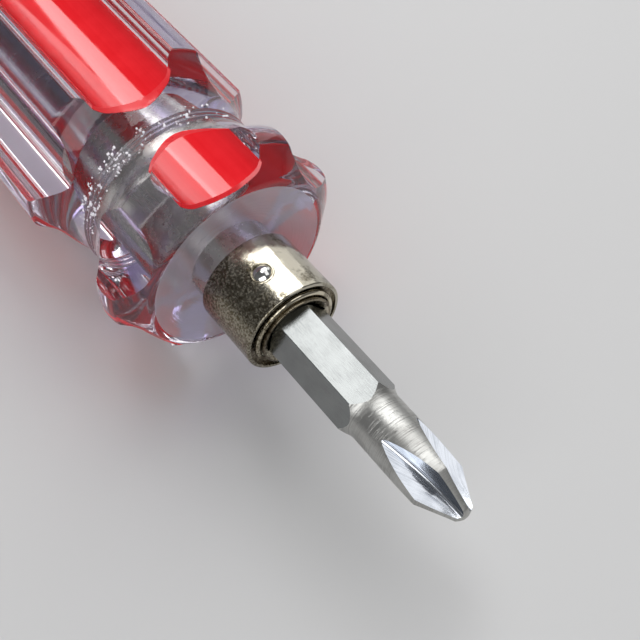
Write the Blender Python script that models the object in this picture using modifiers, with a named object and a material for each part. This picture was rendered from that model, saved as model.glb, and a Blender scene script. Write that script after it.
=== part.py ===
"""A retractable screwdriver with a clear fluted handle, red inlays and a quick-release chuck.

The tool lies on its handle with its tip towards +X. Every piece hangs from the empty
"tool_axis", whose own Z runs along the tool towards the tip, so stations are heights there:
station zero is the front face of the release sleeve. Angles round the tool start at its
top and grow towards -Y.
"""

from math import asin, atan, atan2, cos, pi, radians, sin, sqrt, tan

import bmesh
import bpy
from mathutils import Matrix, Vector

MM = 0.001
MERGE_DISTANCE = 0.0001 * MM

# Handle, along the tool
HANDLE_LENGTH = 100.0 * MM
KNOB_LAND_LENGTH = 3.2 * MM
KNOB_CHAMFER_LENGTH = 2.5 * MM
KNOB_SHOULDER_LENGTH = 5.4 * MM
KNOB_SHOULDER_CURVE = 10.0 * MM
NECK_LENGTH = 1.7 * MM
GRIP_SHOULDER_LENGTH = 6.2 * MM
GRIP_SHOULDER_CURVE = 6.6 * MM
FACE_DISH = 1.4 * MM
BUTT_ROUNDING = 5.5 * MM
# Handle, across
GRIP_RADIUS = 13.8 * MM
KNOB_STEP = 0.4 * MM
KNOB_CROWN = 0.3 * MM
KNOB_CROWN_POINTS = 4
KNOB_CHAMFER_DEPTH = 2.8 * MM
NECK_DEPTH = 3.1 * MM
NECK_RING_DEPTH = 0.22 * MM
NECK_RINGS = 3
TURNED_STEPS = 72
ARC_POINTS = 7

# Flutes: six round the bar, every second one lined with red
FLUTES = 6
CLEAR_DEPTH = 2.75 * MM
CLEAR_HALF_ANGLE = radians(20.5)
RED_DEPTH = 2.53 * MM
RED_FLAT_HALF = 3.4 * MM
RED_CURVE_RADIUS = 1.82 * MM
RED_LIP_RADIUS = 1.0 * MM
INLAY_CURVE_ANGLE = radians(36)
INLAY_THICKNESS = 0.35 * MM
INLAY_GAP = 0.12 * MM
FLUTE_CUTTER_SIDES = 96

# Blade
BLADE_WIDTH = 6.0 * MM
BLADE_LENGTH = 120.0 * MM
BLADE_REACH = 25.5 * MM
BLADE_TRAVEL = 61.0 * MM
BLADE_ROUND_RADIUS = 2.88 * MM
BLADE_CONE_LENGTH = 1.05 * MM
BLADE_HEX_STOP = 14.1 * MM
BLADE_TURN = radians(8.5)
BLADE_STEPS = 48
# Cross tip
TIP_CONE_LENGTH = 3.85 * MM
TIP_POINT_LENGTH = 0.3 * MM
TIP_END_RADIUS = 1.0 * MM
TIP_FLAT_RADIUS = 0.35 * MM
CROSS_FLUTES = 4
CROSS_TURN = radians(41)
CROSS_FLUTE_LENGTH = 9.6 * MM
CROSS_DEEPEST = 1.0 * MM
CROSS_CORE_RADIUS = 0.6 * MM
CROSS_ROOT_RADIUS = 0.35 * MM
CROSS_HALF_ANGLE = radians(46)
CROSS_WHEEL_STEPS = 96
# Slotted tip, at the stored end
SLOT_TIP_THICKNESS = 1.0 * MM
SLOT_TIP_LENGTH = 9.0 * MM
SLOT_ROUND_LENGTH = 13.0 * MM

# Chuck
SLEEVE_LENGTH = 8.0 * MM
SLEEVE_RADIUS = 5.6 * MM
SLEEVE_REACH = 9.5 * MM
SLEEVE_TRAVEL = 1.5 * MM
SLEEVE_EDGE = 0.25 * MM
SLEEVE_FLANGE_START = 0.45 * MM
SLEEVE_FLANGE_LENGTH = 0.45 * MM
SLEEVE_MOUTH_RADIUS = 4.96 * MM
SLEEVE_RELIEF_RADIUS = 5.08 * MM
SLEEVE_RELIEF_END = 2.8 * MM
SLEEVE_RAMP_LENGTH = 0.65 * MM
SLEEVE_LAND_GAP = 0.2 * MM
SLEEVE_LAND_END = 5.05 * MM
SLEEVE_CLEARANCE = 0.15 * MM
BODY_RADIUS = 4.3 * MM
TUBE_RADIUS = 4.85 * MM
BODY_NOSE_LENGTH = 0.6 * MM
BODY_NOSE_RADIUS = 4.12 * MM
BODY_SHOULDER = 7.9 * MM
TANG_LENGTH = 20.0 * MM
TANG_RING_DEPTH = 0.4 * MM
TANG_RINGS = 3
TANG_CLEARANCE = 0.12 * MM
BORE_CLEARANCE = 0.15 * MM
STORE_CLEARANCE = 0.3 * MM
STORE_END_GAP = 1.0 * MM
# Balls
BALL_RADIUS = 1.0 * MM
BALL_STATION = 3.85 * MM
BALL_SEAT_DEPTH = 0.45 * MM
BALL_CLEARANCE = 0.1 * MM
BALL_SEAT_CLEARANCE = 0.25 * MM
KEY_BALL_TOP = 0.12 * MM
KEY_SLOT_FLOOR = 3.4 * MM
# Retaining ring
RING_WIRE_RADIUS = 0.3 * MM
RING_RADIUS = 4.42 * MM
RING_GROOVE_GAP = 0.08 * MM
RING_STATION = -0.03 * MM
RING_OPENING = radians(55)
RING_TURN = radians(75)
RING_POINTS = 40
# Spring
SPRING_WIRE_RADIUS = 0.15 * MM
SPRING_TURNS = 2
SPRING_END_GAP = 0.12 * MM
SPRING_POINTS = 10

# One overrun for all cutters, and the counts of sides and the shading shared by all pieces
OVERRUN = 2.0 * MM
ROUND_SIDES = 24
BALL_RINGS = 12
SMOOTH_ANGLE = radians(35)

# Stations along the tool, from the sleeve's front face
FACE = -SLEEVE_REACH
FACE_CENTRE = FACE - FACE_DISH
KNOB_LAND_FRONT = FACE - KNOB_CHAMFER_LENGTH
KNOB_LAND_REAR = KNOB_LAND_FRONT - KNOB_LAND_LENGTH
NECK_FRONT = KNOB_LAND_REAR - KNOB_SHOULDER_LENGTH
NECK_REAR = NECK_FRONT - NECK_LENGTH
GRIP_FRONT = NECK_REAR - GRIP_SHOULDER_LENGTH
BUTT = FACE - HANDLE_LENGTH
BLADE_REAR = BLADE_REACH - BLADE_LENGTH
TANG_END = FACE_CENTRE - TANG_LENGTH
STORE_END = BLADE_REAR - STORE_END_GAP

# Radii and places that follow from those above
BUTT_FLAT_RADIUS = GRIP_RADIUS - BUTT_ROUNDING
KNOB_RADIUS = GRIP_RADIUS - KNOB_STEP
KNOB_FACE_RADIUS = KNOB_RADIUS - KNOB_CHAMFER_DEPTH
NECK_RADIUS = GRIP_RADIUS - NECK_DEPTH
CLEAR_FLOOR = GRIP_RADIUS - CLEAR_DEPTH
RED_FLOOR = GRIP_RADIUS - RED_DEPTH
BLADE_APOTHEM = BLADE_WIDTH / 2
BLADE_CORNER = BLADE_APOTHEM / cos(pi / 6)
BORE_CORNER = (BLADE_APOTHEM + BORE_CLEARANCE) / cos(pi / 6)
STORE_RADIUS = BLADE_CORNER + STORE_CLEARANCE
SKIRT_RADIUS = TUBE_RADIUS + SLEEVE_CLEARANCE
FLANGE_RADIUS = BODY_RADIUS + SLEEVE_CLEARANCE
LOCK_BALL_OUT = BLADE_APOTHEM - BALL_SEAT_DEPTH + BALL_RADIUS
SLEEVE_LAND_RADIUS = LOCK_BALL_OUT + BALL_RADIUS + SLEEVE_LAND_GAP
KEY_BALL_OUT = SLEEVE_RADIUS - KEY_BALL_TOP - BALL_RADIUS
CROSS_WHEEL_REACH = CROSS_FLUTE_LENGTH - CROSS_DEEPEST
CROSS_WHEEL_RISE = BLADE_ROUND_RADIUS - CROSS_CORE_RADIUS
CROSS_WHEEL_RADIUS = (CROSS_WHEEL_REACH**2 + CROSS_WHEEL_RISE**2) / (2 * CROSS_WHEEL_RISE)
CLEAR_CHORD_HALF = GRIP_RADIUS * sin(CLEAR_HALF_ANGLE)
CLEAR_SAGITTA = GRIP_RADIUS * cos(CLEAR_HALF_ANGLE) - CLEAR_FLOOR
CLEAR_FLUTE_RADIUS = (CLEAR_CHORD_HALF**2 + CLEAR_SAGITTA**2) / (2 * CLEAR_SAGITTA)
AXIS_HEIGHT = GRIP_RADIUS * cos(CLEAR_HALF_ANGLE)
TOTAL_LENGTH = HANDLE_LENGTH + SLEEVE_REACH + BLADE_REACH
AXIS_X = TOTAL_LENGTH / 2 - BLADE_REACH

# Colour (linear), roughness and metallic value of each finish
FINISHES = {
    "clear_plastic": ((0.78, 0.76, 0.82, 0.35), 0.05, 0.0),
    "red_plastic": ((0.75, 0.01, 0.02, 1.0), 0.2, 0.0),
    "nickel": ((0.62, 0.58, 0.50, 1.0), 0.2, 1.0),
    "satin_steel": ((0.55, 0.56, 0.57, 1.0), 0.4, 1.0),
    "spring_steel": ((0.35, 0.34, 0.33, 1.0), 0.3, 1.0),
    "ball_steel": ((0.7, 0.7, 0.7, 1.0), 0.1, 1.0),
}


def clear_scene():
    """Removes whatever the scene holds."""
    for obj in list(bpy.data.objects):
        bpy.data.objects.remove(obj, do_unlink=True)


def new_collection(name, hidden=False):
    """Makes a collection in the scene."""
    found = bpy.data.collections.new(name)
    found.hide_render = hidden
    bpy.context.scene.collection.children.link(found)
    return found


def material(name):
    """Makes the Principled material of this finish, once."""
    made = bpy.data.materials.get(name)
    if made:
        return made
    colour, roughness, metallic = FINISHES[name]
    made = bpy.data.materials.new(name)
    made.use_nodes = True
    made.diffuse_color = colour
    shader = made.node_tree.nodes["Principled BSDF"]
    shader.inputs["Base Color"].default_value = colour
    shader.inputs["Roughness"].default_value = roughness
    shader.inputs["Metallic"].default_value = metallic
    shader.inputs["Alpha"].default_value = colour[3]
    return made


def place(obj, name, collection, finish=None):
    """Names an object, hangs it from the tool's axis and gives it its collection and finish."""
    obj.name = name
    for old in list(obj.users_collection):
        old.objects.unlink(obj)
    collection.objects.link(obj)
    obj.parent = AXIS
    if finish:
        obj.data.materials.clear()
        obj.data.materials.append(material(finish))
    else:
        obj.hide_render = True
        obj.display_type = "WIRE"
    return obj


def smooth(obj):
    """Shades a round piece smooth, with its edges left sharp."""
    obj.data.shade_smooth()
    obj.data.set_sharp_from_angle(angle=SMOOTH_ANGLE)


def across(angle, radius):
    """The place at this angle from the tool's top and this distance from its axis."""
    return Vector((-radius * cos(angle), -radius * sin(angle), 0))


def arc(centre, radius, start, end, points=ARC_POINTS):
    """Points (radius, station) along an arc, from start to end angle."""
    found = []
    for i in range(points + 1):
        angle = start + (end - start) * i / points
        found.append((centre[0] + radius * cos(angle), centre[1] + radius * sin(angle)))
    return found


def turned(name, profile, steps, closed=False):
    """A turned piece: its profile of (radius, station), swept round the axis by a Screw."""
    mesh = bpy.data.meshes.new(name)
    points = [(radius, 0, station) for radius, station in profile]
    edges = [(i, i + 1) for i in range(len(points) - 1)]
    if closed:
        edges.append((len(points) - 1, 0))
    mesh.from_pydata(points, edges, [])
    obj = bpy.data.objects.new(name, mesh)
    screw = obj.modifiers.new("turn", "SCREW")
    screw.axis = "Z"
    screw.steps = steps
    screw.render_steps = steps
    screw.use_merge_vertices = True
    screw.merge_threshold = MERGE_DISTANCE
    screw.use_smooth_shade = True
    return obj


def made_solid(obj):
    """Replaces an object's modifiers or curve by the mesh that they make."""
    bpy.context.scene.collection.objects.link(obj)
    bpy.context.view_layer.update()
    graph = bpy.context.evaluated_depsgraph_get()
    mesh = bpy.data.meshes.new_from_object(obj.evaluated_get(graph))
    work = bmesh.new()
    work.from_mesh(mesh)
    bmesh.ops.remove_doubles(work, verts=work.verts, dist=MERGE_DISTANCE)
    bmesh.ops.recalc_face_normals(work, faces=work.faces)
    work.to_mesh(mesh)
    work.free()
    solid = bpy.data.objects.new(obj.name, mesh)
    solid.matrix_world = obj.matrix_world
    bpy.data.objects.remove(obj, do_unlink=True)
    return solid


def extruded(name, outline, low, high):
    """A closed outline in the plane across the tool, drawn out from one station to another."""
    curve = bpy.data.curves.new(name, "CURVE")
    curve.dimensions = "2D"
    curve.fill_mode = "BOTH"
    curve.extrude = (high - low) / 2
    spline = curve.splines.new("POLY")
    spline.points.add(len(outline) - 1)
    for point, (x, y) in zip(spline.points, outline):
        point.co = (x, y, 0, 1)
    spline.use_cyclic_u = True
    obj = bpy.data.objects.new(name, curve)
    solid = made_solid(obj)
    solid.data.transform(Matrix.Translation((0, 0, (low + high) / 2)))
    return solid


def bar(name, radius, low, high, sides):
    """A straight bar along the tool, from one station to another."""
    bpy.ops.mesh.primitive_cylinder_add(vertices=sides, radius=radius, depth=high - low)
    obj = bpy.context.object
    obj.name = name
    obj.data.transform(Matrix.Translation((0, 0, (low + high) / 2)))
    return obj


def cut(obj, cutter, operation="DIFFERENCE"):
    """Cuts, joins or trims a piece by another with an exact Boolean."""
    boolean = obj.modifiers.new(cutter.name, "BOOLEAN")
    boolean.operation = operation
    boolean.solver = "EXACT"
    boolean.object = cutter


def neck_rings():
    """Points down the neck: shallow turned rings between its two ends."""
    pitch = NECK_LENGTH / NECK_RINGS
    points = []
    for i in range(NECK_RINGS):
        top = NECK_FRONT - pitch * i
        points.append((NECK_RADIUS, top))
        points.append((NECK_RADIUS - NECK_RING_DEPTH, top - pitch / 2))
    points.append((NECK_RADIUS, NECK_REAR))
    return points


def hollow_arc(start, end, radius):
    """Points along the hollow turned curve of this radius from one profile point to another."""
    start, end = Vector(start), Vector(end)
    half = (end - start) / 2
    outward = Vector((-half.y, half.x)).normalized()
    centre = start + half + outward * sqrt(radius**2 - half.length_squared)
    first, last = start - centre, end - centre
    sweep = first.angle_signed(last)
    return arc(centre, radius, atan2(first.y, first.x), atan2(first.y, first.x) - sweep)


def knob_crown():
    """Points over the knob's land, which swells a little between its front and rear edges."""
    half = KNOB_LAND_LENGTH / 2
    radius = (half**2 + KNOB_CROWN**2) / (2 * KNOB_CROWN)
    centre = (KNOB_RADIUS + KNOB_CROWN - radius, KNOB_LAND_REAR + half)
    reach = asin(half / radius)
    return arc(centre, radius, reach, -reach, KNOB_CROWN_POINTS)


def outer_profile():
    """The handle's turned outline, from the edge of its front face down to the butt's centre."""
    knob_rear = (KNOB_RADIUS, KNOB_LAND_REAR)
    neck_front = (NECK_RADIUS, NECK_FRONT)
    neck_rear = (NECK_RADIUS, NECK_REAR)
    grip_front = (GRIP_RADIUS, GRIP_FRONT)
    profile = [(KNOB_FACE_RADIUS, FACE)] + knob_crown()
    profile += hollow_arc(knob_rear, neck_front, KNOB_SHOULDER_CURVE)[1:-1]
    profile += neck_rings()
    profile += hollow_arc(neck_rear, grip_front, GRIP_SHOULDER_CURVE)[1:]
    profile += arc((BUTT_FLAT_RADIUS, BUTT + BUTT_ROUNDING), BUTT_ROUNDING, 0, -pi / 2)
    profile.append((0, BUTT))
    return profile


def handle_profile():
    """The handle's whole section: up its bore, over the front face and down the outside."""
    tang_bore = TUBE_RADIUS + TANG_CLEARANCE
    bore = [
        (0, STORE_END),
        (STORE_RADIUS, STORE_END),
        (STORE_RADIUS, TANG_END - TANG_CLEARANCE),
        (tang_bore, TANG_END - TANG_CLEARANCE),
        (tang_bore, FACE_CENTRE),
    ]
    return bore + outer_profile()


def mirrored(right):
    """Both sides of an outline that is symmetric about its flute, from its right side."""
    return [(-x, y) for x, y in reversed(right)] + right


def floor_curve(offset, start, end):
    """Points up a red flute's curved side, pushed this far into the bar, as (across, out)."""
    centre = (RED_FLAT_HALF, RED_FLOOR + RED_CURVE_RADIUS)
    return arc(centre, RED_CURVE_RADIUS + offset, start - pi / 2, end - pi / 2)


def lip_start():
    """How far a red flute's side curves up before its lip, which ends level with the land."""
    centre = Vector((RED_FLAT_HALF, RED_FLOOR + RED_CURVE_RADIUS))
    reach = RED_CURVE_RADIUS + RED_LIP_RADIUS
    spare = (GRIP_RADIUS - RED_LIP_RADIUS) ** 2 - centre.length_squared - reach**2
    return atan2(centre.y, centre.x) + asin(spare / (2 * reach * centre.length))


def lip_curve():
    """Points over the lip between a red flute's side and its land, and on out of the bar."""
    start = lip_start()
    reach = RED_CURVE_RADIUS + RED_LIP_RADIUS
    x = RED_FLAT_HALF + reach * sin(start)
    y = RED_FLOOR + RED_CURVE_RADIUS - reach * cos(start)
    points = arc((x, y), RED_LIP_RADIUS, start + pi / 2, atan2(y, x))
    last = Vector(points[-1])
    return points + [tuple(last + last.normalized() * OVERRUN)]


def round_the_bar(points, angle):
    """Turns section points (across, out) to the flute at this angle."""
    out = across(angle, 1)
    side = across(angle + pi / 2, 1)
    return [(side.x * x + out.x * y, side.y * x + out.y * y) for x, y in points]


def pocket_outline(angle):
    """The cut of a red flute: its inlay's seat, the bare sides above that and their lips."""
    seat_end = INLAY_CURVE_ANGLE + INLAY_GAP / RED_CURVE_RADIUS
    seat = floor_curve(INLAY_THICKNESS + INLAY_GAP, 0, seat_end)
    side = floor_curve(0, seat_end, lip_start())
    return round_the_bar(mirrored(seat + side + lip_curve()[1:]), angle)


def inlay_outline(angle):
    """A red inlay's section: the flute's floor and, below it, the inlay's back."""
    face = mirrored(floor_curve(0, 0, INLAY_CURVE_ANGLE))
    back = mirrored(floor_curve(INLAY_THICKNESS, 0, INLAY_CURVE_ANGLE))
    return round_the_bar(back + face[::-1], angle)


def clear_flute(angle):
    """The cutter of a clear flute, a long round bar beside the handle."""
    low, high = BUTT - OVERRUN, FACE + OVERRUN
    cutter = bar("clear_flute_cutter", CLEAR_FLUTE_RADIUS, low, high, FLUTE_CUTTER_SIDES)
    cutter.data.transform(Matrix.Rotation(angle, 4, "Z"))
    cutter.data.transform(Matrix.Translation(across(angle, CLEAR_FLOOR + CLEAR_FLUTE_RADIUS)))
    return place(cutter, "clear_flute_cutter", CUTTERS)


def make_handle():
    """The clear handle: turned, bored, fluted and pocketed for its inlays."""
    handle = turned("handle", handle_profile(), TURNED_STEPS)
    place(handle, "handle", PARTS, "clear_plastic")
    for i in range(FLUTES):
        angle = 2 * pi * i / FLUTES
        if i % 2:
            cut(handle, clear_flute(angle))
            continue
        pocket = extruded("pocket_cutter", pocket_outline(angle), BUTT - OVERRUN, FACE + OVERRUN)
        cut(handle, place(pocket, "pocket_cutter", CUTTERS))
    return handle


def make_inlays():
    """The red inlays: one in each lined flute of the grip and one in each of the knob."""
    trim = turned("inlay_trim", [(0, FACE)] + outer_profile(), TURNED_STEPS)
    place(trim, "inlay_trim", CUTTERS)
    neck_middle = (NECK_FRONT + NECK_REAR) / 2
    spans = {
        "grip": (BUTT - OVERRUN, neck_middle),
        "knob": (neck_middle, FACE + OVERRUN),
    }
    for where, (low, high) in spans.items():
        for i in range(0, FLUTES, 2):
            name = f"{where}_inlay_{i // 2 + 1}"
            inlay = extruded(name, inlay_outline(2 * pi * i / FLUTES), low, high)
            place(inlay, name, PARTS, "red_plastic")
            cut(inlay, trim, "INTERSECT")
            smooth(inlay)


def socket_profile():
    """The socket body's outside, from its nose down to the end of its tang."""
    groove = RING_WIRE_RADIUS + RING_GROOVE_GAP
    groove_radius = RING_RADIUS - groove
    profile = [(0, BODY_NOSE_LENGTH), (BODY_NOSE_RADIUS, BODY_NOSE_LENGTH)]
    profile.append((BODY_NOSE_RADIUS, RING_STATION + groove))
    profile.append((groove_radius, RING_STATION + groove))
    profile.append((groove_radius, RING_STATION - groove))
    profile.append((BODY_RADIUS, RING_STATION - groove))
    profile.append((BODY_RADIUS, -BODY_SHOULDER))
    profile.append((TUBE_RADIUS, -BODY_SHOULDER))
    pitch = TANG_LENGTH / (2 * TANG_RINGS + 1)
    for i in range(1, 2 * TANG_RINGS, 2):
        top = FACE_CENTRE - pitch * i
        profile.append((TUBE_RADIUS, top))
        profile.append((TUBE_RADIUS - TANG_RING_DEPTH, top - TANG_RING_DEPTH))
        profile.append((TUBE_RADIUS - TANG_RING_DEPTH, top - pitch + TANG_RING_DEPTH))
        profile.append((TUBE_RADIUS, top - pitch))
    profile.append((TUBE_RADIUS, TANG_END))
    profile.append((0, TANG_END))
    return profile


def radial_bar(name, angle, station, radius, inner, outer):
    """A round cutter that points out from the axis, at one angle and station."""
    bpy.ops.mesh.primitive_cylinder_add(vertices=ROUND_SIDES, radius=radius, depth=outer - inner)
    obj = bpy.context.object
    turn = Vector((0, 0, 1)).rotation_difference(across(angle, 1)).to_matrix().to_4x4()
    middle = across(angle, (inner + outer) / 2) + Vector((0, 0, station))
    obj.data.transform(Matrix.Translation(middle) @ turn)
    return place(obj, name, CUTTERS)


def key_slot():
    """The cutters of the slot that the key ball rides in: two round ends and what lies between."""
    radius = BALL_RADIUS + BALL_CLEARANCE
    for station in (-BALL_STATION, -BALL_STATION - SLEEVE_TRAVEL):
        yield radial_bar("slot_end", BLADE_TURN, station, radius, KEY_SLOT_FLOOR, SLEEVE_RADIUS)
    bpy.ops.mesh.primitive_cube_add(size=1)
    middle = bpy.context.object
    scale = Matrix.Diagonal((SLEEVE_RADIUS - KEY_SLOT_FLOOR, 2 * radius, SLEEVE_TRAVEL, 1))
    turn = Matrix.Rotation(BLADE_TURN, 4, "Z")
    centre = across(BLADE_TURN, (SLEEVE_RADIUS + KEY_SLOT_FLOOR) / 2)
    centre.z = -BALL_STATION - SLEEVE_TRAVEL / 2
    middle.data.transform(Matrix.Translation(centre) @ turn @ scale)
    yield place(middle, "slot_middle", CUTTERS)


def make_socket_body():
    """The steel tube that holds the blade: hexagon bore, ball hole, key slot and tang."""
    body = turned("socket_body", socket_profile(), TURNED_STEPS)
    place(body, "socket_body", PARTS, "nickel")
    low = TANG_END - OVERRUN
    high = BODY_NOSE_LENGTH + OVERRUN
    bore = bar("hexagon_bore", BORE_CORNER, low, high, 6)
    bore.data.transform(Matrix.Rotation(BLADE_TURN, 4, "Z"))
    cut(body, place(bore, "hexagon_bore", CUTTERS))
    hole = BALL_RADIUS + BALL_CLEARANCE
    lock = BLADE_TURN + pi
    cut(body, radial_bar("ball_hole", lock, -BALL_STATION, hole, BALL_RADIUS, SLEEVE_RADIUS))
    for cutter in key_slot():
        cut(body, cutter)
    return body


def sleeve_profile():
    """The release sleeve's section: down its outside and back up through its stepped bore."""
    edge = SLEEVE_EDGE
    return [
        (SLEEVE_MOUTH_RADIUS, 0),
        (SLEEVE_RADIUS - edge, 0),
        (SLEEVE_RADIUS, -edge),
        (SLEEVE_RADIUS, edge - SLEEVE_LENGTH),
        (SLEEVE_RADIUS - edge, -SLEEVE_LENGTH),
        (SKIRT_RADIUS, -SLEEVE_LENGTH),
        (SKIRT_RADIUS, -SLEEVE_LAND_END),
        (SLEEVE_LAND_RADIUS, -SLEEVE_LAND_END),
        (SLEEVE_LAND_RADIUS, -SLEEVE_RELIEF_END - SLEEVE_RAMP_LENGTH),
        (SLEEVE_RELIEF_RADIUS, -SLEEVE_RELIEF_END),
        (SLEEVE_RELIEF_RADIUS, -SLEEVE_FLANGE_START - SLEEVE_FLANGE_LENGTH),
        (FLANGE_RADIUS, -SLEEVE_FLANGE_START - SLEEVE_FLANGE_LENGTH),
        (FLANGE_RADIUS, -SLEEVE_FLANGE_START),
        (SLEEVE_MOUTH_RADIUS, -SLEEVE_FLANGE_START),
    ]


def make_sleeve():
    """The release sleeve, with the hole that holds the key ball."""
    sleeve = turned("release_sleeve", sleeve_profile(), TURNED_STEPS, closed=True)
    place(sleeve, "release_sleeve", PARTS, "nickel")
    hole = BALL_RADIUS + BALL_CLEARANCE
    outer = SLEEVE_RADIUS + OVERRUN
    cut(sleeve, radial_bar("key_hole", BLADE_TURN, -BALL_STATION, hole, BODY_RADIUS, outer))
    return sleeve


def ball_mesh(radius):
    """A ball at the origin."""
    bpy.ops.mesh.primitive_uv_sphere_add(segments=ROUND_SIDES, ring_count=BALL_RINGS, radius=radius)
    return bpy.context.object


def make_ball(name, angle, radius_out):
    """A steel ball beside the axis, at the balls' station."""
    ball = place(ball_mesh(BALL_RADIUS), name, PARTS, "ball_steel")
    ball.location = across(angle, radius_out) - Vector((0, 0, BALL_STATION))
    smooth(ball)
    return ball


def wire(name, points, radius, finish):
    """A round wire along these points, with closed ends."""
    curve = bpy.data.curves.new(name, "CURVE")
    curve.dimensions = "3D"
    curve.bevel_depth = radius
    curve.bevel_resolution = 1
    curve.use_fill_caps = True
    spline = curve.splines.new("POLY")
    spline.points.add(len(points) - 1)
    for point, place_ in zip(spline.points, points):
        point.co = (*place_, 1)
    obj = bpy.data.objects.new(name, curve)
    return place(obj, name, PARTS, finish)


def make_retaining_ring():
    """The open wire ring in the groove of the socket body's nose."""
    sweep = 2 * pi - RING_OPENING
    points = []
    for i in range(RING_POINTS + 1):
        angle = RING_TURN + RING_OPENING / 2 + sweep * i / RING_POINTS
        points.append(across(angle, RING_RADIUS) + Vector((0, 0, RING_STATION)))
    return wire("retaining_ring", points, RING_WIRE_RADIUS, "nickel")


def least_gap(points, diameter):
    """The least clear gap between neighbouring turns of a coil."""
    found = []
    for i, first in enumerate(points):
        for second in points[i + SPRING_POINTS // 2 :]:
            found.append((first - second).length - diameter)
    return min(found)


def make_spring():
    """The compression spring between the socket body's shoulder and the sleeve's land."""
    low = -BODY_SHOULDER + SPRING_END_GAP + SPRING_WIRE_RADIUS
    high = -SLEEVE_LAND_END - SPRING_END_GAP - SPRING_WIRE_RADIUS
    coil_radius = (BODY_RADIUS + SKIRT_RADIUS) / 2
    count = SPRING_TURNS * SPRING_POINTS
    points = []
    for i in range(count + 1):
        angle = 2 * pi * i / SPRING_POINTS
        station = low + (high - low) * i / count
        points.append(across(angle, coil_radius) + Vector((0, 0, station)))
    gap = least_gap(points, 2 * SPRING_WIRE_RADIUS)
    print(f"sleeve_spring: least gap to itself {gap / MM:.2f} mm")
    return wire("sleeve_spring", points, SPRING_WIRE_RADIUS, "spring_steel")


def blade_envelope():
    """The turned outline that trims the blade's hexagon bar at both ends."""
    clear = BLADE_CORNER + OVERRUN
    cone_slope = (BLADE_CORNER - BLADE_ROUND_RADIUS) / BLADE_CONE_LENGTH
    cone_reach = (clear - BLADE_ROUND_RADIUS) / cone_slope
    front = BLADE_REACH - BLADE_HEX_STOP + BLADE_CONE_LENGTH
    rear = BLADE_REAR + SLOT_ROUND_LENGTH
    return [
        (0, BLADE_REACH),
        (TIP_FLAT_RADIUS, BLADE_REACH),
        (TIP_END_RADIUS, BLADE_REACH - TIP_POINT_LENGTH),
        (BLADE_ROUND_RADIUS, BLADE_REACH - TIP_CONE_LENGTH),
        (BLADE_ROUND_RADIUS, front),
        (clear, front - cone_reach),
        (clear, rear + cone_reach),
        (BLADE_ROUND_RADIUS, rear),
        (BLADE_ROUND_RADIUS, BLADE_REAR),
        (0, BLADE_REAR),
    ]


def wheel_profile():
    """Half the section of the wheel that grinds a flute: a V rim with a rounded edge."""
    slope = pi / 2 - CROSS_HALF_ANGLE
    rim = arc((CROSS_WHEEL_RADIUS - CROSS_ROOT_RADIUS, 0), CROSS_ROOT_RADIUS, slope, -slope)
    depth = BLADE_ROUND_RADIUS + OVERRUN
    width = rim[0][1] + depth * tan(CROSS_HALF_ANGLE)
    inner = rim[0][0] - depth
    return [(0, width), (inner, width)] + rim + [(inner, -width), (0, -width)]


def cross_flutes():
    """The ground flutes of the cross tip, deepest near its point."""
    for i in range(CROSS_FLUTES):
        angle = CROSS_TURN + 2 * pi * i / CROSS_FLUTES
        wheel = made_solid(turned("cross_flute", wheel_profile(), CROSS_WHEEL_STEPS))
        wheel.data.transform(Matrix.Rotation(pi / 2, 4, "X"))
        wheel.data.transform(Matrix.Rotation(angle, 4, "Z"))
        centre = across(angle, CROSS_CORE_RADIUS + CROSS_WHEEL_RADIUS)
        centre.z = BLADE_REACH - CROSS_DEEPEST
        wheel.data.transform(Matrix.Translation(centre))
        yield place(wheel, "cross_flute", CUTTERS)


def slot_sides():
    """The two cutters that leave the slotted tip's flat, slightly tapered blade."""
    lean = atan((BLADE_ROUND_RADIUS - SLOT_TIP_THICKNESS / 2) / SLOT_TIP_LENGTH)
    size = 2 * SLOT_TIP_LENGTH
    for side in (1, -1):
        bpy.ops.mesh.primitive_cube_add(size=size)
        cutter = bpy.context.object
        out = Matrix.Translation((side * (SLOT_TIP_THICKNESS / 2 + size / 2 / cos(lean)), 0, 0))
        cutter.data.transform(out @ Matrix.Rotation(side * lean, 4, "Y"))
        cutter.data.transform(Matrix.Rotation(BLADE_TURN, 4, "Z"))
        cutter.data.transform(Matrix.Translation((0, 0, BLADE_REAR)))
        yield place(cutter, "slot_side", CUTTERS)


def ball_track():
    """The lock ball's track along the blade: a round groove with a deeper seat at each end."""
    front, rear = -BALL_STATION, -BALL_STATION - BLADE_TRAVEL
    middle = across(BLADE_TURN + pi, LOCK_BALL_OUT)
    groove = bar("ball_groove", BALL_RADIUS + BALL_CLEARANCE, rear, front, ROUND_SIDES)
    groove.data.transform(Matrix.Translation(middle))
    yield place(groove, "ball_groove", CUTTERS)
    seat_radius = BALL_RADIUS + BALL_SEAT_CLEARANCE
    for station in (front, rear):
        seat = ball_mesh(seat_radius)
        seat.data.transform(Matrix.Translation(middle + Vector((0, 0, station))))
        yield place(seat, "ball_seat", CUTTERS)


def make_blade():
    """The blade: a hexagon bar, turned at both ends, with a cross tip and a slotted tip."""
    low = BLADE_REAR - OVERRUN
    high = BLADE_REACH + OVERRUN
    blade = bar("blade", BLADE_CORNER, low, high, 6)
    blade.data.transform(Matrix.Rotation(BLADE_TURN, 4, "Z"))
    place(blade, "blade", PARTS, "satin_steel")
    envelope = turned("blade_envelope", blade_envelope(), BLADE_STEPS)
    cut(blade, place(envelope, "blade_envelope", CUTTERS), "INTERSECT")
    for cutter in cross_flutes():
        cut(blade, cutter)
    for cutter in slot_sides():
        cut(blade, cutter)
    for cutter in ball_track():
        cut(blade, cutter)
    return blade


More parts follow.
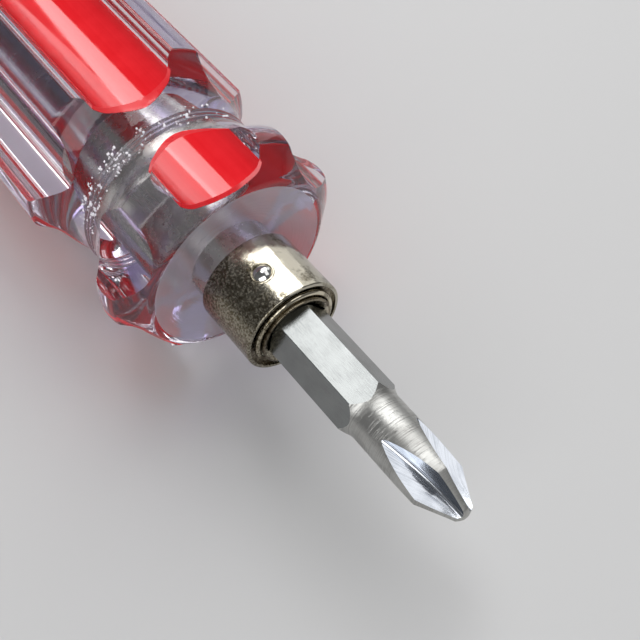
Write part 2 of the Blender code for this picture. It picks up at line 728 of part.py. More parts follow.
clear_scene()
PARTS = new_collection("retractable_screwdriver")
CUTTERS = new_collection("cutters", hidden=True)
AXIS = bpy.data.objects.new("tool_axis", None)
PARTS.objects.link(AXIS)
AXIS.location = (AXIS_X, 0, AXIS_HEIGHT)
AXIS.rotation_euler = (0, pi / 2, 0)

make_handle()
make_inlays()
make_socket_body()
make_sleeve()
make_ball("key_ball", BLADE_TURN, KEY_BALL_OUT)
make_ball("lock_ball", BLADE_TURN + pi, LOCK_BALL_OUT)
make_retaining_ring()
make_spring()
make_blade()
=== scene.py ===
"""Looks of a retractable screwdriver: clear fluted handle, red inlays, nickel chuck, steel blade.

Every piece is modelled about the tool's own axis, where local Z is the station along the tool,
counted from the release sleeve's front face towards the tip, and polar angles start at the red
flute on top. Its mesh is then moved to the tool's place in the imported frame.
"""

import logging
from dataclasses import dataclass
from enum import Enum
from math import asin, atan2, cos, hypot, pi, radians, sin, sqrt, tan
from random import Random
from typing import Callable, Iterable, Sequence

import bpy
from mathutils import Matrix, Vector


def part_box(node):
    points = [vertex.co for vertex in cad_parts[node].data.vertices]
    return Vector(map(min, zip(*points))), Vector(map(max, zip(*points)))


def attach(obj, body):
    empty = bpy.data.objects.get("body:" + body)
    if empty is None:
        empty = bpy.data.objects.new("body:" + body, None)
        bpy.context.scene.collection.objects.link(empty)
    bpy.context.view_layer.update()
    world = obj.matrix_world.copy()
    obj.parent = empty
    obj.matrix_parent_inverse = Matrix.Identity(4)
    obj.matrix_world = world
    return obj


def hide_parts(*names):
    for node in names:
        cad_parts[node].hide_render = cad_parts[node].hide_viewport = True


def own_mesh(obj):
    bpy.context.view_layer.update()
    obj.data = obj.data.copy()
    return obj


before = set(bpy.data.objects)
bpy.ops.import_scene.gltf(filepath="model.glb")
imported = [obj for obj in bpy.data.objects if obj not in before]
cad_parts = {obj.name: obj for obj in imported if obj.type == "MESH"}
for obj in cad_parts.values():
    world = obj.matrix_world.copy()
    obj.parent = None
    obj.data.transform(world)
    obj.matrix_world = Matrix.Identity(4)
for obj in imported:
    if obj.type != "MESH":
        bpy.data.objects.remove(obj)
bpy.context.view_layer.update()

MM = 0.001
MERGE = 0.0005 * MM

log = logging.getLogger("screwdriver")

Point = tuple[float, float]
Triple = tuple[float, float, float]
Colour = tuple[float, float, float, float]
Piece = bpy.types.Object
Look = bpy.types.Material
Socket = bpy.types.NodeSocket


class Slot(Enum):
    """The record's material slots, one for each kind of finish that this scene's pieces wear."""

    CLEAR = "clear_plastic"
    RED = "red_plastic"
    NICKEL = "nickel"
    STEEL = "satin_steel"
    SPRING = "spring_steel"
    BALL = "ball_steel"


class Body(Enum):
    """The bodies that pieces ride on."""

    ROOT = "root"
    SLEEVE = "sleeve"
    BLADE = "blade"


class Join(Enum):
    """What is done to a piece with another shape."""

    CUT = "DIFFERENCE"
    TRIM = "INTERSECT"


# Places


@dataclass(frozen=True)
class ToolAxis:
    """The line that the tool is turned about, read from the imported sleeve.

    Args:
        front: Place along X of the sleeve's front face, which is station zero.
        height: Height of the axis over the floor.
    """

    front: float
    height: float

    @classmethod
    def from_frame(cls) -> "ToolAxis":
        """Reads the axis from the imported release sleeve."""
        low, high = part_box("release_sleeve")
        return cls(high.x, (low.z + high.z) / 2)

    def matrix(self) -> Matrix:
        """Turns local stations and polar angles into the frame's places."""
        turn = Matrix.Rotation(pi / 2, 4, "Y") @ Matrix.Rotation(pi, 4, "Z")
        return Matrix.Translation((self.front, 0, self.height)) @ turn

    def place(self, angle: float, radius: float, station: float) -> Vector:
        """Gives the frame's place of a polar angle, radius and station."""
        return self.matrix() @ Vector((radius * cos(angle), radius * sin(angle), station))


AXIS = ToolAxis.from_frame()


# Outlines


def arc(centre: Point, radius: float, start: float, end: float, count: int) -> list[Point]:
    """Gives points along an arc.

    Args:
        centre: The arc's centre.
        radius: Its radius.
        start: First angle, in radians.
        end: Last angle, in radians.
        count: Number of steps between the two.

    Returns:
        The points, both ends included.
    """
    turns = [start + (end - start) * i / count for i in range(count + 1)]
    return [(centre[0] + radius * cos(t), centre[1] + radius * sin(t)) for t in turns]


def hollow_arc(start: Point, end: Point, radius: float, count: int) -> list[Point]:
    """Gives the hollow turned curve between two profile points, running down the outside.

    Args:
        start: Upper point, as radius and station.
        end: Lower point.
        radius: Radius of the curve.
        count: Number of steps.

    Returns:
        The points, both ends included.
    """
    first, last = Vector(start), Vector(end)
    half = (last - first) / 2
    outward = Vector((-half.y, half.x)).normalized()
    centre = first + half + outward * sqrt(radius**2 - half.length_squared)
    a, b = first - centre, last - centre
    begin = atan2(a.y, a.x)
    return arc((centre.x, centre.y), radius, begin, begin - a.angle_signed(b), count)


def rounded(start: Vector, corner: Vector, end: Vector, count: int) -> list[Point]:
    """Gives a smooth curve that takes a corner's place.

    Args:
        start: Where the curve leaves the first side.
        corner: The corner.
        end: Where it meets the second side.
        count: Number of steps.

    Returns:
        The points, both ends included.
    """
    shares = [k / count for k in range(count + 1)]
    curve = [start * (1 - t) ** 2 + corner * 2 * t * (1 - t) + end * t**2 for t in shares]
    return [(p.x, p.y) for p in curve]


def softened(corners: Sequence[Triple], count: int = 4) -> list[Point]:
    """Rounds the corners of an open outline.

    Args:
        corners: Each corner's two coordinates and how far its rounding reaches.
        count: Number of steps in each rounding.

    Returns:
        The outline with a smooth curve in place of each corner that has a reach.
    """
    points: list[Point] = []
    for i, (x, y, reach) in enumerate(corners):
        here = Vector((x, y))
        if not reach or i in (0, len(corners) - 1):
            points.append((x, y))
            continue
        before = Vector(corners[i - 1][:2]) - here
        after = Vector(corners[i + 1][:2]) - here
        near = min(reach, before.length / 2, after.length / 2)
        points += rounded(here + before.normalized() * near, here, here + after.normalized() * near, count)
    return points


# Modelling


def deselect() -> None:
    """Leaves edit mode and deselects everything."""
    if bpy.context.object and bpy.context.object.mode != "OBJECT":
        bpy.ops.object.mode_set(mode="OBJECT")
    bpy.ops.object.select_all(action="DESELECT")


def only(obj: Piece) -> None:
    """Makes this the only selected object, and the active one.

    Args:
        obj: The object.
    """
    deselect()
    obj.select_set(True)
    bpy.context.view_layer.objects.active = obj


def added(name: str, shape: Callable, **sizes: object) -> Piece:
    """Adds one of the basic shapes.

    Args:
        name: The object's name.
        shape: The operator that adds it.
        sizes: The operator's settings.

    Returns:
        The object, which is the only one selected.
    """
    deselect()
    shape(**sizes)
    obj = bpy.context.object
    obj.name = name
    return obj


def drawn(name: str, points: Sequence[Sequence[float]], closed: bool = False) -> Piece:
    """Draws a line of edges by extruding one vertex from point to point.

    Args:
        name: The object's name.
        points: Places in the object's own frame.
        closed: Whether the last point is joined to the first.

    Returns:
        The object, left in edit mode with everything selected.
    """
    obj = added(name, bpy.ops.mesh.primitive_plane_add, size=MM)
    bpy.ops.object.mode_set(mode="EDIT")
    bpy.ops.mesh.select_all(action="SELECT")
    bpy.ops.mesh.merge(type="CENTER")
    bpy.ops.transform.translate(value=points[0])
    for here, there in zip(points, points[1:]):
        step = [b - a for a, b in zip(here, there)]
        bpy.ops.mesh.extrude_region_move(TRANSFORM_OT_translate={"value": step})
    bpy.ops.mesh.select_all(action="SELECT")
    if closed:
        bpy.ops.mesh.edge_face_add()
    return obj


def closed_off(obj: Piece) -> Piece:
    """Turns every face of a drawn solid outwards and leaves edit mode.

    Args:
        obj: The solid, in edit mode.

    Returns:
        The solid.
    """
    bpy.ops.mesh.select_all(action="SELECT")
    bpy.ops.mesh.normals_make_consistent(inside=False)
    bpy.ops.object.mode_set(mode="OBJECT")
    return obj


def turned(name: str, profile: Sequence[Point], steps: int, ring: bool = False) -> Piece:
    """Turns a profile of radius and station round the tool's axis.

    Args:
        name: The object's name.
        profile: The profile; an open one starts and ends on the axis.
        steps: Steps in the full turn.
        ring: Whether the profile is closed, as a ring's is.

    Returns:
        The closed solid.
    """
    points = [(radius, 0, station) for radius, station in profile]
    if ring:
        points.append(points[0])
    obj = drawn(name, points)
    bpy.ops.mesh.spin(steps=steps, angle=2 * pi, center=(0, 0, 0), axis=(0, 0, 1))
    bpy.ops.mesh.select_all(action="SELECT")
    bpy.ops.mesh.remove_doubles(threshold=MERGE)
    bpy.ops.mesh.delete_loose()
    return closed_off(obj)


def extruded(name: str, outline: Sequence[Point], low: float, high: float) -> Piece:
    """Fills an outline across the tool and draws it out along the tool.

    Args:
        name: The object's name.
        outline: The closed outline's points.
        low: Station where it starts.
        high: Station where it ends.

    Returns:
        The closed solid.
    """
    obj = drawn(name, [(x, y, low) for x, y in outline], closed=True)
    bpy.ops.mesh.select_all(action="SELECT")
    move = {"value": (0, 0, high - low)}
    bpy.ops.mesh.extrude_region_move(TRANSFORM_OT_translate=move)
    return closed_off(obj)


def rod(name: str, radius: float, low: float, high: float, sides: int) -> Piece:
    """Adds a straight bar along the tool, whose first edge is at polar angle zero.

    Args:
        name: The object's name.
        radius: Radius of its corners.
        low: Station where it starts.
        high: Station where it ends.
        sides: Number of its sides.

    Returns:
        The closed solid.
    """
    sizes = {"vertices": sides, "radius": radius, "depth": high - low, "location": (0, 0, (low + high) / 2)}
    obj = added(name, bpy.ops.mesh.primitive_cylinder_add, **sizes)
    settle(obj, Matrix.Rotation(-pi / 2, 4, "Z"))
    return obj


def hexagon_rod(name: str, apothem: float, turn: float, low: float, high: float) -> Piece:
    """Adds a hexagon bar along the tool.

    Args:
        name: The object's name.
        apothem: Half its width across flats.
        turn: Polar angle that one of its flats faces.
        low: Station where it starts.
        high: Station where it ends.

    Returns:
        The closed solid.
    """
    sides = 6
    half = pi / sides
    obj = rod(name, apothem / cos(half), low, high, sides)
    settle(obj, Matrix.Rotation(turn + half, 4, "Z"))
    return obj


def settle(obj: Piece, matrix: Matrix) -> None:
    """Moves an object and puts its whole place into its mesh.

    Args:
        obj: The object.
        matrix: The move.
    """
    obj.matrix_world = matrix @ obj.matrix_world
    only(obj)
    bpy.ops.object.transform_apply(location=True, rotation=True, scale=True)


def join(obj: Piece, other: Piece, how: Join) -> Piece:
    """Cuts or trims a piece with another shape, which is used up.

    Args:
        obj: The piece.
        other: The other shape; faces that come from it keep its material.
        how: What is done with it.

    Returns:
        The piece.
    """
    only(obj)
    boolean = obj.modifiers.new("shape", "BOOLEAN")
    boolean.operation = how.value
    boolean.solver = "EXACT"
    boolean.material_mode = "TRANSFER"
    boolean.object = other
    bpy.ops.object.modifier_apply(modifier=boolean.name)
    bpy.data.objects.remove(other, do_unlink=True)
    return obj


def bevel_edges(obj: Piece, width: float, sharpness: float, segments: int) -> None:
    """Rounds every edge that is sharper than an angle.

    Args:
        obj: The piece.
        width: Width of the rounding.
        sharpness: Least angle between the faces, in radians.
        segments: Faces across the rounding.
    """
    only(obj)
    bpy.ops.object.mode_set(mode="EDIT")
    bpy.ops.mesh.select_all(action="DESELECT")
    bpy.ops.mesh.select_mode(type="EDGE")
    bpy.ops.mesh.edges_select_sharp(sharpness=sharpness)
    bpy.ops.mesh.bevel(offset=width, segments=segments, affect="EDGES")
    bpy.ops.mesh.select_mode(type="VERT")
    bpy.ops.object.mode_set(mode="OBJECT")


def copied(obj: Piece, name: str, angle: float) -> Piece:
    """Copies a piece, mesh and all, and turns the copy about the tool's axis.

    Args:
        obj: The piece.
        name: The copy's name.
        angle: How far the copy is turned.

    Returns:
        The copy.
    """
    only(obj)
    bpy.ops.object.duplicate(linked=False)
    copy = bpy.context.object
    copy.name = name
    settle(copy, Matrix.Rotation(angle, 4, "Z"))
    return copy


def painted(obj: Piece, finish: Look) -> Piece:
    """Gives a shape its only material.

    Args:
        obj: The shape.
        finish: The material.

    Returns:
        The shape.
    """
    obj.data.materials.clear()
    obj.data.materials.append(finish)
    return obj


def zoned(obj: Piece, looks: Sequence[Look], pick: Callable[[float, float], Look]) -> Piece:
    """Gives the faces of a turned shape their materials by where they lie.

    Args:
        obj: The shape.
        looks: All the materials that are picked from.
        pick: Gives the material at a radius and station.

    Returns:
        The shape.
    """
    obj.data.materials.clear()
    for look in looks:
        obj.data.materials.append(look)
    for face in obj.data.polygons:
        x, y, station = face.center
        face.material_index = looks.index(pick(hypot(x, y), station))
    return obj


def finished(
    obj: Piece,
    body: Body,
    slot: Slot,
    replaces: Sequence[str] = (),
    crease: float = radians(24),
) -> Piece:
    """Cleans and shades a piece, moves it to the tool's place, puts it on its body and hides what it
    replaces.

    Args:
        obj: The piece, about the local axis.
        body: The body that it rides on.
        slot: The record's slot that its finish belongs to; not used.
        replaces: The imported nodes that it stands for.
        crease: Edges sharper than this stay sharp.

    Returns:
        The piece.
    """
    only(obj)
    bpy.ops.object.mode_set(mode="EDIT")
    bpy.ops.mesh.select_all(action="SELECT")
    bpy.ops.mesh.remove_doubles(threshold=MERGE)
    bpy.ops.mesh.dissolve_degenerate(threshold=MERGE)
    bpy.ops.object.mode_set(mode="OBJECT")
    bpy.ops.object.shade_smooth_by_angle(angle=crease)
    weighted = obj.modifiers.new("flat faces", "WEIGHTED_NORMAL")
    weighted.keep_sharp = True
    bpy.ops.object.modifier_apply(modifier=weighted.name)
    settle(obj, AXIS.matrix())
    deselect()
    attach(obj, body.value)
    if replaces:
        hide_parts(*replaces)
    log.info("%s: %d faces, rides on %s", obj.name, len(obj.data.polygons), body.value)
    return obj


# Finishes


class Tree:
    """A material's node tree, with short calls that add its nodes and link them."""

    def __init__(self, name: str) -> None:
        """Makes the material.

        Args:
            name: Its name.
        """
        self.material = bpy.data.materials.new(name)
        self.material.use_nodes = True
        self.nodes = self.material.node_tree.nodes
        self.links = self.material.node_tree.links
        self.shader = self.nodes["Principled BSDF"]
        self.output = self.nodes["Material Output"]

    def add(self, kind: str, inputs: dict | None = None, **settings: object) -> bpy.types.Node:
        """Adds a node.

        Args:
            kind: The node's type, without its ShaderNode prefix.
            inputs: Values or output sockets, by input name or number.
            settings: The node's own properties.

        Returns:
            The node.
        """
        node = self.nodes.new("ShaderNode" + kind)
        for key, setting in settings.items():
            setattr(node, key, setting)
        for key, given in (inputs or {}).items():
            self.feed(node.inputs[key], given)
        return node

    def feed(self, socket: Socket, given: object) -> None:
        """Links an output to a socket, or sets the socket's value.

        Args:
            socket: The input.
            given: The output or the value.
        """
        if isinstance(given, Socket):
            self.links.new(given, socket)
        else:
            socket.default_value = given

    def surface(self, **values: object) -> None:
        """Sets or links inputs of the Principled shader, with underscores for spaces."""
        for key, given in values.items():
            self.feed(self.shader.inputs[key.replace("_", " ")], given)

    def math(self, operation: str, a: object, b: object = 0.0) -> Socket:
        """Adds a Math node and gives its result."""
        return self.add("Math", {0: a, 1: b}, operation=operation).outputs[0]

    def mean(self, a: Socket, b: Socket) -> Socket:
        """Gives the mean of two values."""
        return self.math("MULTIPLY", self.math("ADD", a, b), 0.5)

    def ramp(self, factor: object, span: Point, ends: Point = (0.0, 1.0)) -> Socket:
        """Maps a factor smoothly from a span to its new ends."""
        inputs = {0: factor, 1: span[0], 2: span[1], 3: ends[0], 4: ends[1]}
        return self.add("MapRange", inputs, interpolation_type="SMOOTHSTEP").outputs[0]

    def mix(self, factor: object, a: object, b: object) -> Socket:
        """Mixes two colours."""
        node = self.add("Mix", {0: factor, 6: a, 7: b}, data_type="RGBA")
        return node.outputs[2]

    def on_axis(self) -> Socket:
        """Gives Object coordinates counted from the tool's axis and station zero."""
        place = self.add("TexCoord").outputs["Object"]
        return self.add("Mapping", {"Vector": place, "Location": (-AXIS.front, 0, -AXIS.height)}).outputs[0]

    def split(self) -> tuple[Socket, Socket, Socket]:
        """Gives the three coordinates counted from the tool's axis and station zero."""
        return tuple(self.add("SeparateXYZ", {0: self.on_axis()}).outputs)

    def angle(self) -> Socket:
        """Gives the angle round the tool's axis, from the top."""
        _, y, z = self.split()
        return self.math("ARCTAN2", y, z)

    def round_axis(self, around: float, along: float) -> Socket:
        """Gives cylindrical coordinates about the tool's axis.

        Args:
            around: Scale of the place round the axis, per radian.
            along: Scale of the place along the axis and out from it, per metre.

        Returns:
            A vector of station, angle from the top, and radius; its seam lies underneath.
        """
        x, y, z = self.split()
        squares = self.math("ADD", self.math("MULTIPLY", y, y), self.math("MULTIPLY", z, z))
        radius = self.math("SQRT", squares)
        return self.add("CombineXYZ", {
            0: self.math("MULTIPLY", x, along),
            1: self.math("MULTIPLY", self.angle(), around),
            2: self.math("MULTIPLY", radius, along),
        }).outputs[0]

    def noise(self, place: Socket, scale: float = 1.0, detail: float = 3.0, rough: float = 0.5) -> Socket:
        """Adds a noise texture and gives its factor."""
        inputs = {"Vector": place, "Scale": scale, "Detail": detail, "Roughness": rough}
        return self.add("TexNoise", inputs).outputs["Fac"]

    def stretched(self, place: Socket, scales: Triple, detail: float) -> Socket:
        """Adds a noise texture whose scale differs along the three axes."""
        scaled = self.add("VectorMath", {0: place, 1: scales}, operation="MULTIPLY").outputs[0]
        return self.noise(scaled, detail=detail)

    def bump(self, height: Socket, rise: float, strength: float = 1.0, under: Socket | None = None) -> Socket:
        """Raises the surface by a height.

        Args:
            height: The height, as a share of the rise.
            rise: How far the highest places stand out.
            strength: How much of the tilt shows; below zero, the places are pits.
            under: The normal of the surface that this is laid over.

        Returns:
            The new normal.
        """
        inputs = {"Height": height, "Distance": rise, "Strength": strength}
        if under:
            inputs["Normal"] = under
        return self.add("Bump", inputs).outputs[0]


@dataclass(frozen=True)
class ClearPlastic:
    """Clear cellulose plastic with a violet tint and a slight haze.

    Args:
        name: The material's name.
        tint: Colour of light that passes through the surface, and of its haze.
        depth: Colour that the bulk takes on.
        density: How fast the bulk takes it on, per metre.
        shade: Colour of the light that lamps send through.
        haze: Share of light that the surface scatters back.
        ior: Refractive index.
        gloss: Lowest and highest roughness.
        draw: Height of the lengthwise drawing lines.
        swell: Height of the broad waves under them.
        rings: Height of the turning marks round the axis.
        smear_scale: Scale of the smears that change the gloss.
        smear_span: Span of the smears over which it changes.
        draw_scales: Scales of the drawing lines along the tool and across it.
        swell_scales: Scales of the broad waves.
        ring_scales: Scales of the turning marks round the axis and along it.
    """

    name: str
    tint: Colour = (0.98, 0.972, 0.985, 1.0)
    depth: Colour = (0.74, 0.70, 0.84, 1.0)
    density: float = 10.0
    shade: Colour = (0.95, 0.935, 0.965, 1.0)
    haze: float = 0.05
    ior: float = 1.475
    gloss: Point = (0.0, 0.04)
    draw: float = 0.0
    swell: float = 0.0
    rings: float = 0.0
    smear_scale: float = 260
    smear_span: Point = (0.45, 0.75)
    draw_scales: Triple = (12, 900, 900)
    swell_scales: Triple = (14, 160, 160)
    ring_scales: Point = (0.35, 5200)

    def build(self) -> Look:
        """Builds the material.

        Returns:
            The material.
        """
        tree = Tree(self.name)
        place = tree.on_axis()
        smears = tree.noise(place, self.smear_scale, detail=4)
        normal = tree.bump(tree.stretched(place, self.swell_scales, detail=2), self.swell)
        normal = tree.bump(tree.stretched(place, self.draw_scales, detail=3), self.draw, under=normal)
        if self.rings:
            marks = tree.noise(tree.round_axis(*self.ring_scales), detail=2)
            normal = tree.bump(marks, self.rings, under=normal)
        tree.surface(
            Base_Color=self.tint,
            Transmission_Weight=1.0 - self.haze,
            IOR=self.ior,
            Roughness=tree.ramp(smears, self.smear_span, self.gloss),
            Normal=normal,
        )
        bulk = tree.add("VolumeAbsorption", {"Color": self.depth, "Density": self.density})
        tree.links.new(bulk.outputs[0], tree.output.inputs["Volume"])
        passed = tree.add("BsdfTransparent", {"Color": self.shade})
        shadow = tree.add("LightPath").outputs["Is Shadow Ray"]
        skin = tree.add("MixShader", {0: shadow, 1: tree.shader.outputs[0], 2: passed.outputs[0]})
        tree.links.new(skin.outputs[0], tree.output.inputs["Surface"])
        return tree.material


@dataclass(frozen=True)
class RedPlastic:
    """Opaque red plastic with drawn lines along it, under a clear gloss.

    Args:
        name: The material's name.
        deep: The darker red.
        bright: The lighter red.
        gloss: Lowest and highest roughness.
        ior: Refractive index.
        coat_weight: Strength of the clear gloss.
        coat_gloss: Roughness of the clear gloss.
        flutes: How many red flutes stand round the axis.
        hollow: How fast a flute's floor curves up, per square radian.
        streak: Height of the fine drawn lines.
        streak_strength: How much of them shows.
        wave: Height of the broad waves along the tool.
        patch_scale: Scale of the patches of colour and gloss.
        streak_scales: Scales of the drawn lines along the tool and across it.
        wave_scales: Scales of the broad waves.
        mixed_span: Span over which one red turns into the other.
        gloss_span: Span of the patches over which the gloss changes.
    """

    name: str
    deep: Colour
    bright: Colour
    gloss: Point
    ior: float = 1.49
    coat_weight: float = 0.8
    coat_gloss: float = 0.11
    flutes: int = 3
    hollow: float = 13.0 * MM
    streak: float = 0.006 * MM
    streak_strength: float = 0.8
    wave: float = 0.04 * MM
    patch_scale: float = 320
    streak_scales: Triple = (8, 1300, 1300)
    wave_scales: Triple = (3, 330, 330)
    mixed_span: Point = (0.35, 0.65)
    gloss_span: Point = (0.3, 0.75)

    def build(self) -> Look:
        """Builds the material, whose gloss follows the flutes' hollow floors.

        Returns:
            The material.
        """
        tree = Tree(self.name)
        place = tree.on_axis()
        half = pi / self.flutes
        angle = tree.add("Math", {0: tree.angle(), 1: half, 2: -half}, operation="WRAP").outputs[0]
        patches = tree.noise(place, self.patch_scale, detail=4)
        streaks = tree.stretched(place, self.streak_scales, detail=2)
        normal = tree.bump(tree.math("MULTIPLY", angle, angle), self.hollow)
        normal = tree.bump(tree.stretched(place, self.wave_scales, detail=1), self.wave, under=normal)
        normal = tree.bump(streaks, self.streak, self.streak_strength, under=normal)
        mixed = tree.ramp(tree.mean(patches, streaks), self.mixed_span)
        tree.surface(
            Base_Color=tree.mix(mixed, self.deep, self.bright),
            Roughness=tree.ramp(patches, self.gloss_span, self.gloss),
            IOR=self.ior,
            Coat_Weight=self.coat_weight,
            Coat_Roughness=self.coat_gloss,
            Coat_Normal=normal,
            Normal=normal,
        )
        return tree.material


@dataclass(frozen=True)
class Plating:
    """Nickel plating, warm in tone, with dull smears, pits, patches of tarnish, and painted shade that
    darkens each flank, the one at -Y most.

    Args:
        name: The material's name.
        clean: Colour of the clean metal.
        stain_and_shade: Colour of the tarnish, which the painted shade on the flank takes too.
        gloss: Lowest and highest roughness.
        mottle: Height of the unevenness under the plating.
        wave_share: Height of the broad waves, as a share of that.
        speck_share: Height of the specks, as a share of it.
        pit_share: Depth of the pits, as a share of it.
        pit_strength: How much of the pits shows, below zero as they are sunk.
        flank_shade_rate: How fast painted shade grows from the top down the flank at -Y, per metre.
        other_flank_shade_share: How fast the painted shade grows down the other flank, as a share of that.
        cloud_scale: Scale of the tarnish's patches.
        speck_scale: Scale of the specks within them.
        pit_scale: Scale of the pits.
        smear_scales: Scales of the smears round the axis and along it.
        wave_scales: Scales of the broad waves round the axis and along it.
        stain_and_shade_span: Span of the tarnish patches and painted shade over which the tarnish colour sets
            in.
        stain_and_shade_most: Tarnish and painted shade at their densest.
        speck_span: Span over which a speck sets in.
        between_share: Tarnish between the specks, as a share of that on them.
        pit_span: Span over which a pit sets in.
        smear_span: Span of the smears over which the gloss changes.
        grit_span: Span of the specks over which the dull grit between them fades.
        grit_lee_span: Span of the flank over which the grit sets in.
        grit_most: Roughness of the grit.
    """

    name: str
    clean: Colour = (0.52, 0.485, 0.40, 1.0)
    stain_and_shade: Colour = (0.10, 0.08, 0.045, 1.0)
    gloss: Point = (0.06, 0.22)
    mottle: float = 0.02 * MM
    wave_share: float = 2.0
    speck_share: float = 1 / 3
    pit_share: float = 1 / 4
    pit_strength: float = -0.5
    flank_shade_rate: float = 0.09 / MM
    other_flank_shade_share: float = 0.25
    cloud_scale: float = 420
    speck_scale: float = 3600
    pit_scale: float = 3200
    smear_scales: Point = (3.0, 500)
    wave_scales: Point = (2.2, 260)
    stain_and_shade_span: Point = (0.57, 0.70)
    stain_and_shade_most: float = 0.97
    speck_span: Point = (0.42, 0.6)
    between_share: float = 0.4
    pit_span: Point = (0.68, 0.74)
    smear_span: Point = (0.35, 0.75)
    grit_span: Point = (0.40, 0.46)
    grit_lee_span: Point = (0.06, 0.2)
    grit_most: float = 0.45

    def flank_shade(self, tree: Tree) -> Socket:
        """Gives how much painted shade each place down a flank gains over the top.

        Args:
            tree: The material's node tree.

        Returns:
            The gain.
        """
        across = tree.math("MULTIPLY", tree.split()[1], self.flank_shade_rate)
        other = tree.math("MULTIPLY", across, self.other_flank_shade_share)
        return tree.math("MAXIMUM", tree.math("MULTIPLY", across, -1.0), other)

    def build(self) -> Look:
        """Builds the material.

        Returns:
            The material.
        """
        tree = Tree(self.name)
        place = tree.on_axis()
        flank_shade = self.flank_shade(tree)
        cloud = tree.noise(place, self.cloud_scale, detail=5, rough=0.6)
        grains = tree.noise(place, self.speck_scale, detail=4, rough=0.7)
        specks = tree.ramp(grains, self.speck_span)
        # Tarnish colour from random patches, plus painted shade that darkens the flank at -Y and, less, the
        # other one.
        patches = tree.ramp(tree.math("ADD", cloud, flank_shade), self.stain_and_shade_span, (0.0, self.stain_and_shade_most))
        held = tree.math("ADD", tree.math("MULTIPLY", specks, 1 - self.between_share), self.between_share)
        stain_and_shade_amount = tree.math("MULTIPLY", patches, held)
        pits = tree.ramp(tree.noise(place, self.pit_scale, detail=2), self.pit_span)
        waves = tree.noise(tree.round_axis(*self.wave_scales), detail=2)
        raised = tree.math("MULTIPLY", specks, stain_and_shade_amount)
        normal = tree.bump(waves, self.mottle * self.wave_share)
        normal = tree.bump(cloud, self.mottle, under=normal)
        normal = tree.bump(raised, self.mottle * self.speck_share, under=normal)
        normal = tree.bump(pits, self.mottle * self.pit_share, self.pit_strength, under=normal)
        smears = tree.noise(tree.round_axis(*self.smear_scales), detail=4, rough=0.65)
        between = tree.ramp(grains, self.grit_span, (1.0, 0.0))
        grit = tree.math("MULTIPLY", between, tree.ramp(flank_shade, self.grit_lee_span, (0.0, self.grit_most)))
        tree.surface(
            Base_Color=tree.mix(stain_and_shade_amount, self.clean, self.stain_and_shade),
            Metallic=1.0,
            Roughness=tree.math("MAXIMUM", tree.ramp(smears, self.smear_span, self.gloss), grit),
            Normal=normal,
        )
        return tree.material


@dataclass(frozen=True)
class Steel:
    """Bare steel with marks along or round the blade.

    Args:
        name: The material's name.
        light: Colour of the bright metal.
        dark: Colour of its dull patches.
        gloss: Lowest and highest roughness.
        mark_scales: Scales of the marks along the tool and round it.
        marks: Height of the marks.
        grain: Height of the fine grain.
        cloud_scale: Scale of the dull patches.
        grain_scale: Scale of the fine grain.
        speck_scale: Scale of the dark specks.
        shade_span: Span over which the bright metal turns dull.
        gloss_span: Span over which the gloss changes.
        mark_span: Span over which a mark sets in.
        speck_span: Span over which a speck sets in.
        speck_most: Darkness of a speck.
    """

    name: str
    light: Colour
    dark: Colour
    gloss: Point
    mark_scales: Point
    marks: float
    grain: float
    cloud_scale: float = 380
    grain_scale: float = 5200
    speck_scale: float = 1500
    shade_span: Point = (0.4, 0.68)
    gloss_span: Point = (0.35, 0.7)
    mark_span: Point = (0.5, 0.72)
    speck_span: Point = (0.7, 0.76)
    speck_most: float = 0.5

    def build(self) -> Look:
        """Builds the material.

        Returns:
            The material.
        """
        tree = Tree(self.name)
        place = tree.on_axis()
        along, around = self.mark_scales
        lines = tree.noise(tree.round_axis(around, along), detail=4, rough=0.6)
        shade = tree.mean(tree.noise(place, self.cloud_scale, detail=4), lines)
        grains = tree.noise(place, self.speck_scale, detail=2)
        specks = tree.ramp(grains, self.speck_span, (0.0, self.speck_most))
        colour = tree.mix(tree.ramp(shade, self.shade_span), self.light, self.dark)
        normal = tree.bump(tree.noise(place, self.grain_scale, detail=2), self.grain)
        tree.surface(
            Base_Color=tree.mix(specks, colour, self.dark),
            Metallic=1.0,
            Roughness=tree.ramp(shade, self.gloss_span, self.gloss),
            Normal=tree.bump(tree.ramp(lines, self.mark_span), self.marks, under=normal),
        )
        return tree.material


@dataclass(frozen=True)
class PaleBoard:
    """The plain matt board that the tool lies on.

    Args:
        name: The material's name.
        colour: Its colour.
        gloss: Its roughness.
        sheen: Strength of its reflection.
    """

    name: str
    colour: Colour = (0.66, 0.66, 0.66, 1.0)
    gloss: float = 0.9
    sheen: float = 0.1

    def build(self) -> Look:
        """Builds the material.

        Returns:
            The material.
        """
        tree = Tree(self.name)
        tree.surface(Base_Color=self.colour, Roughness=self.gloss, Specular_IOR_Level=self.sheen)
        return tree.material


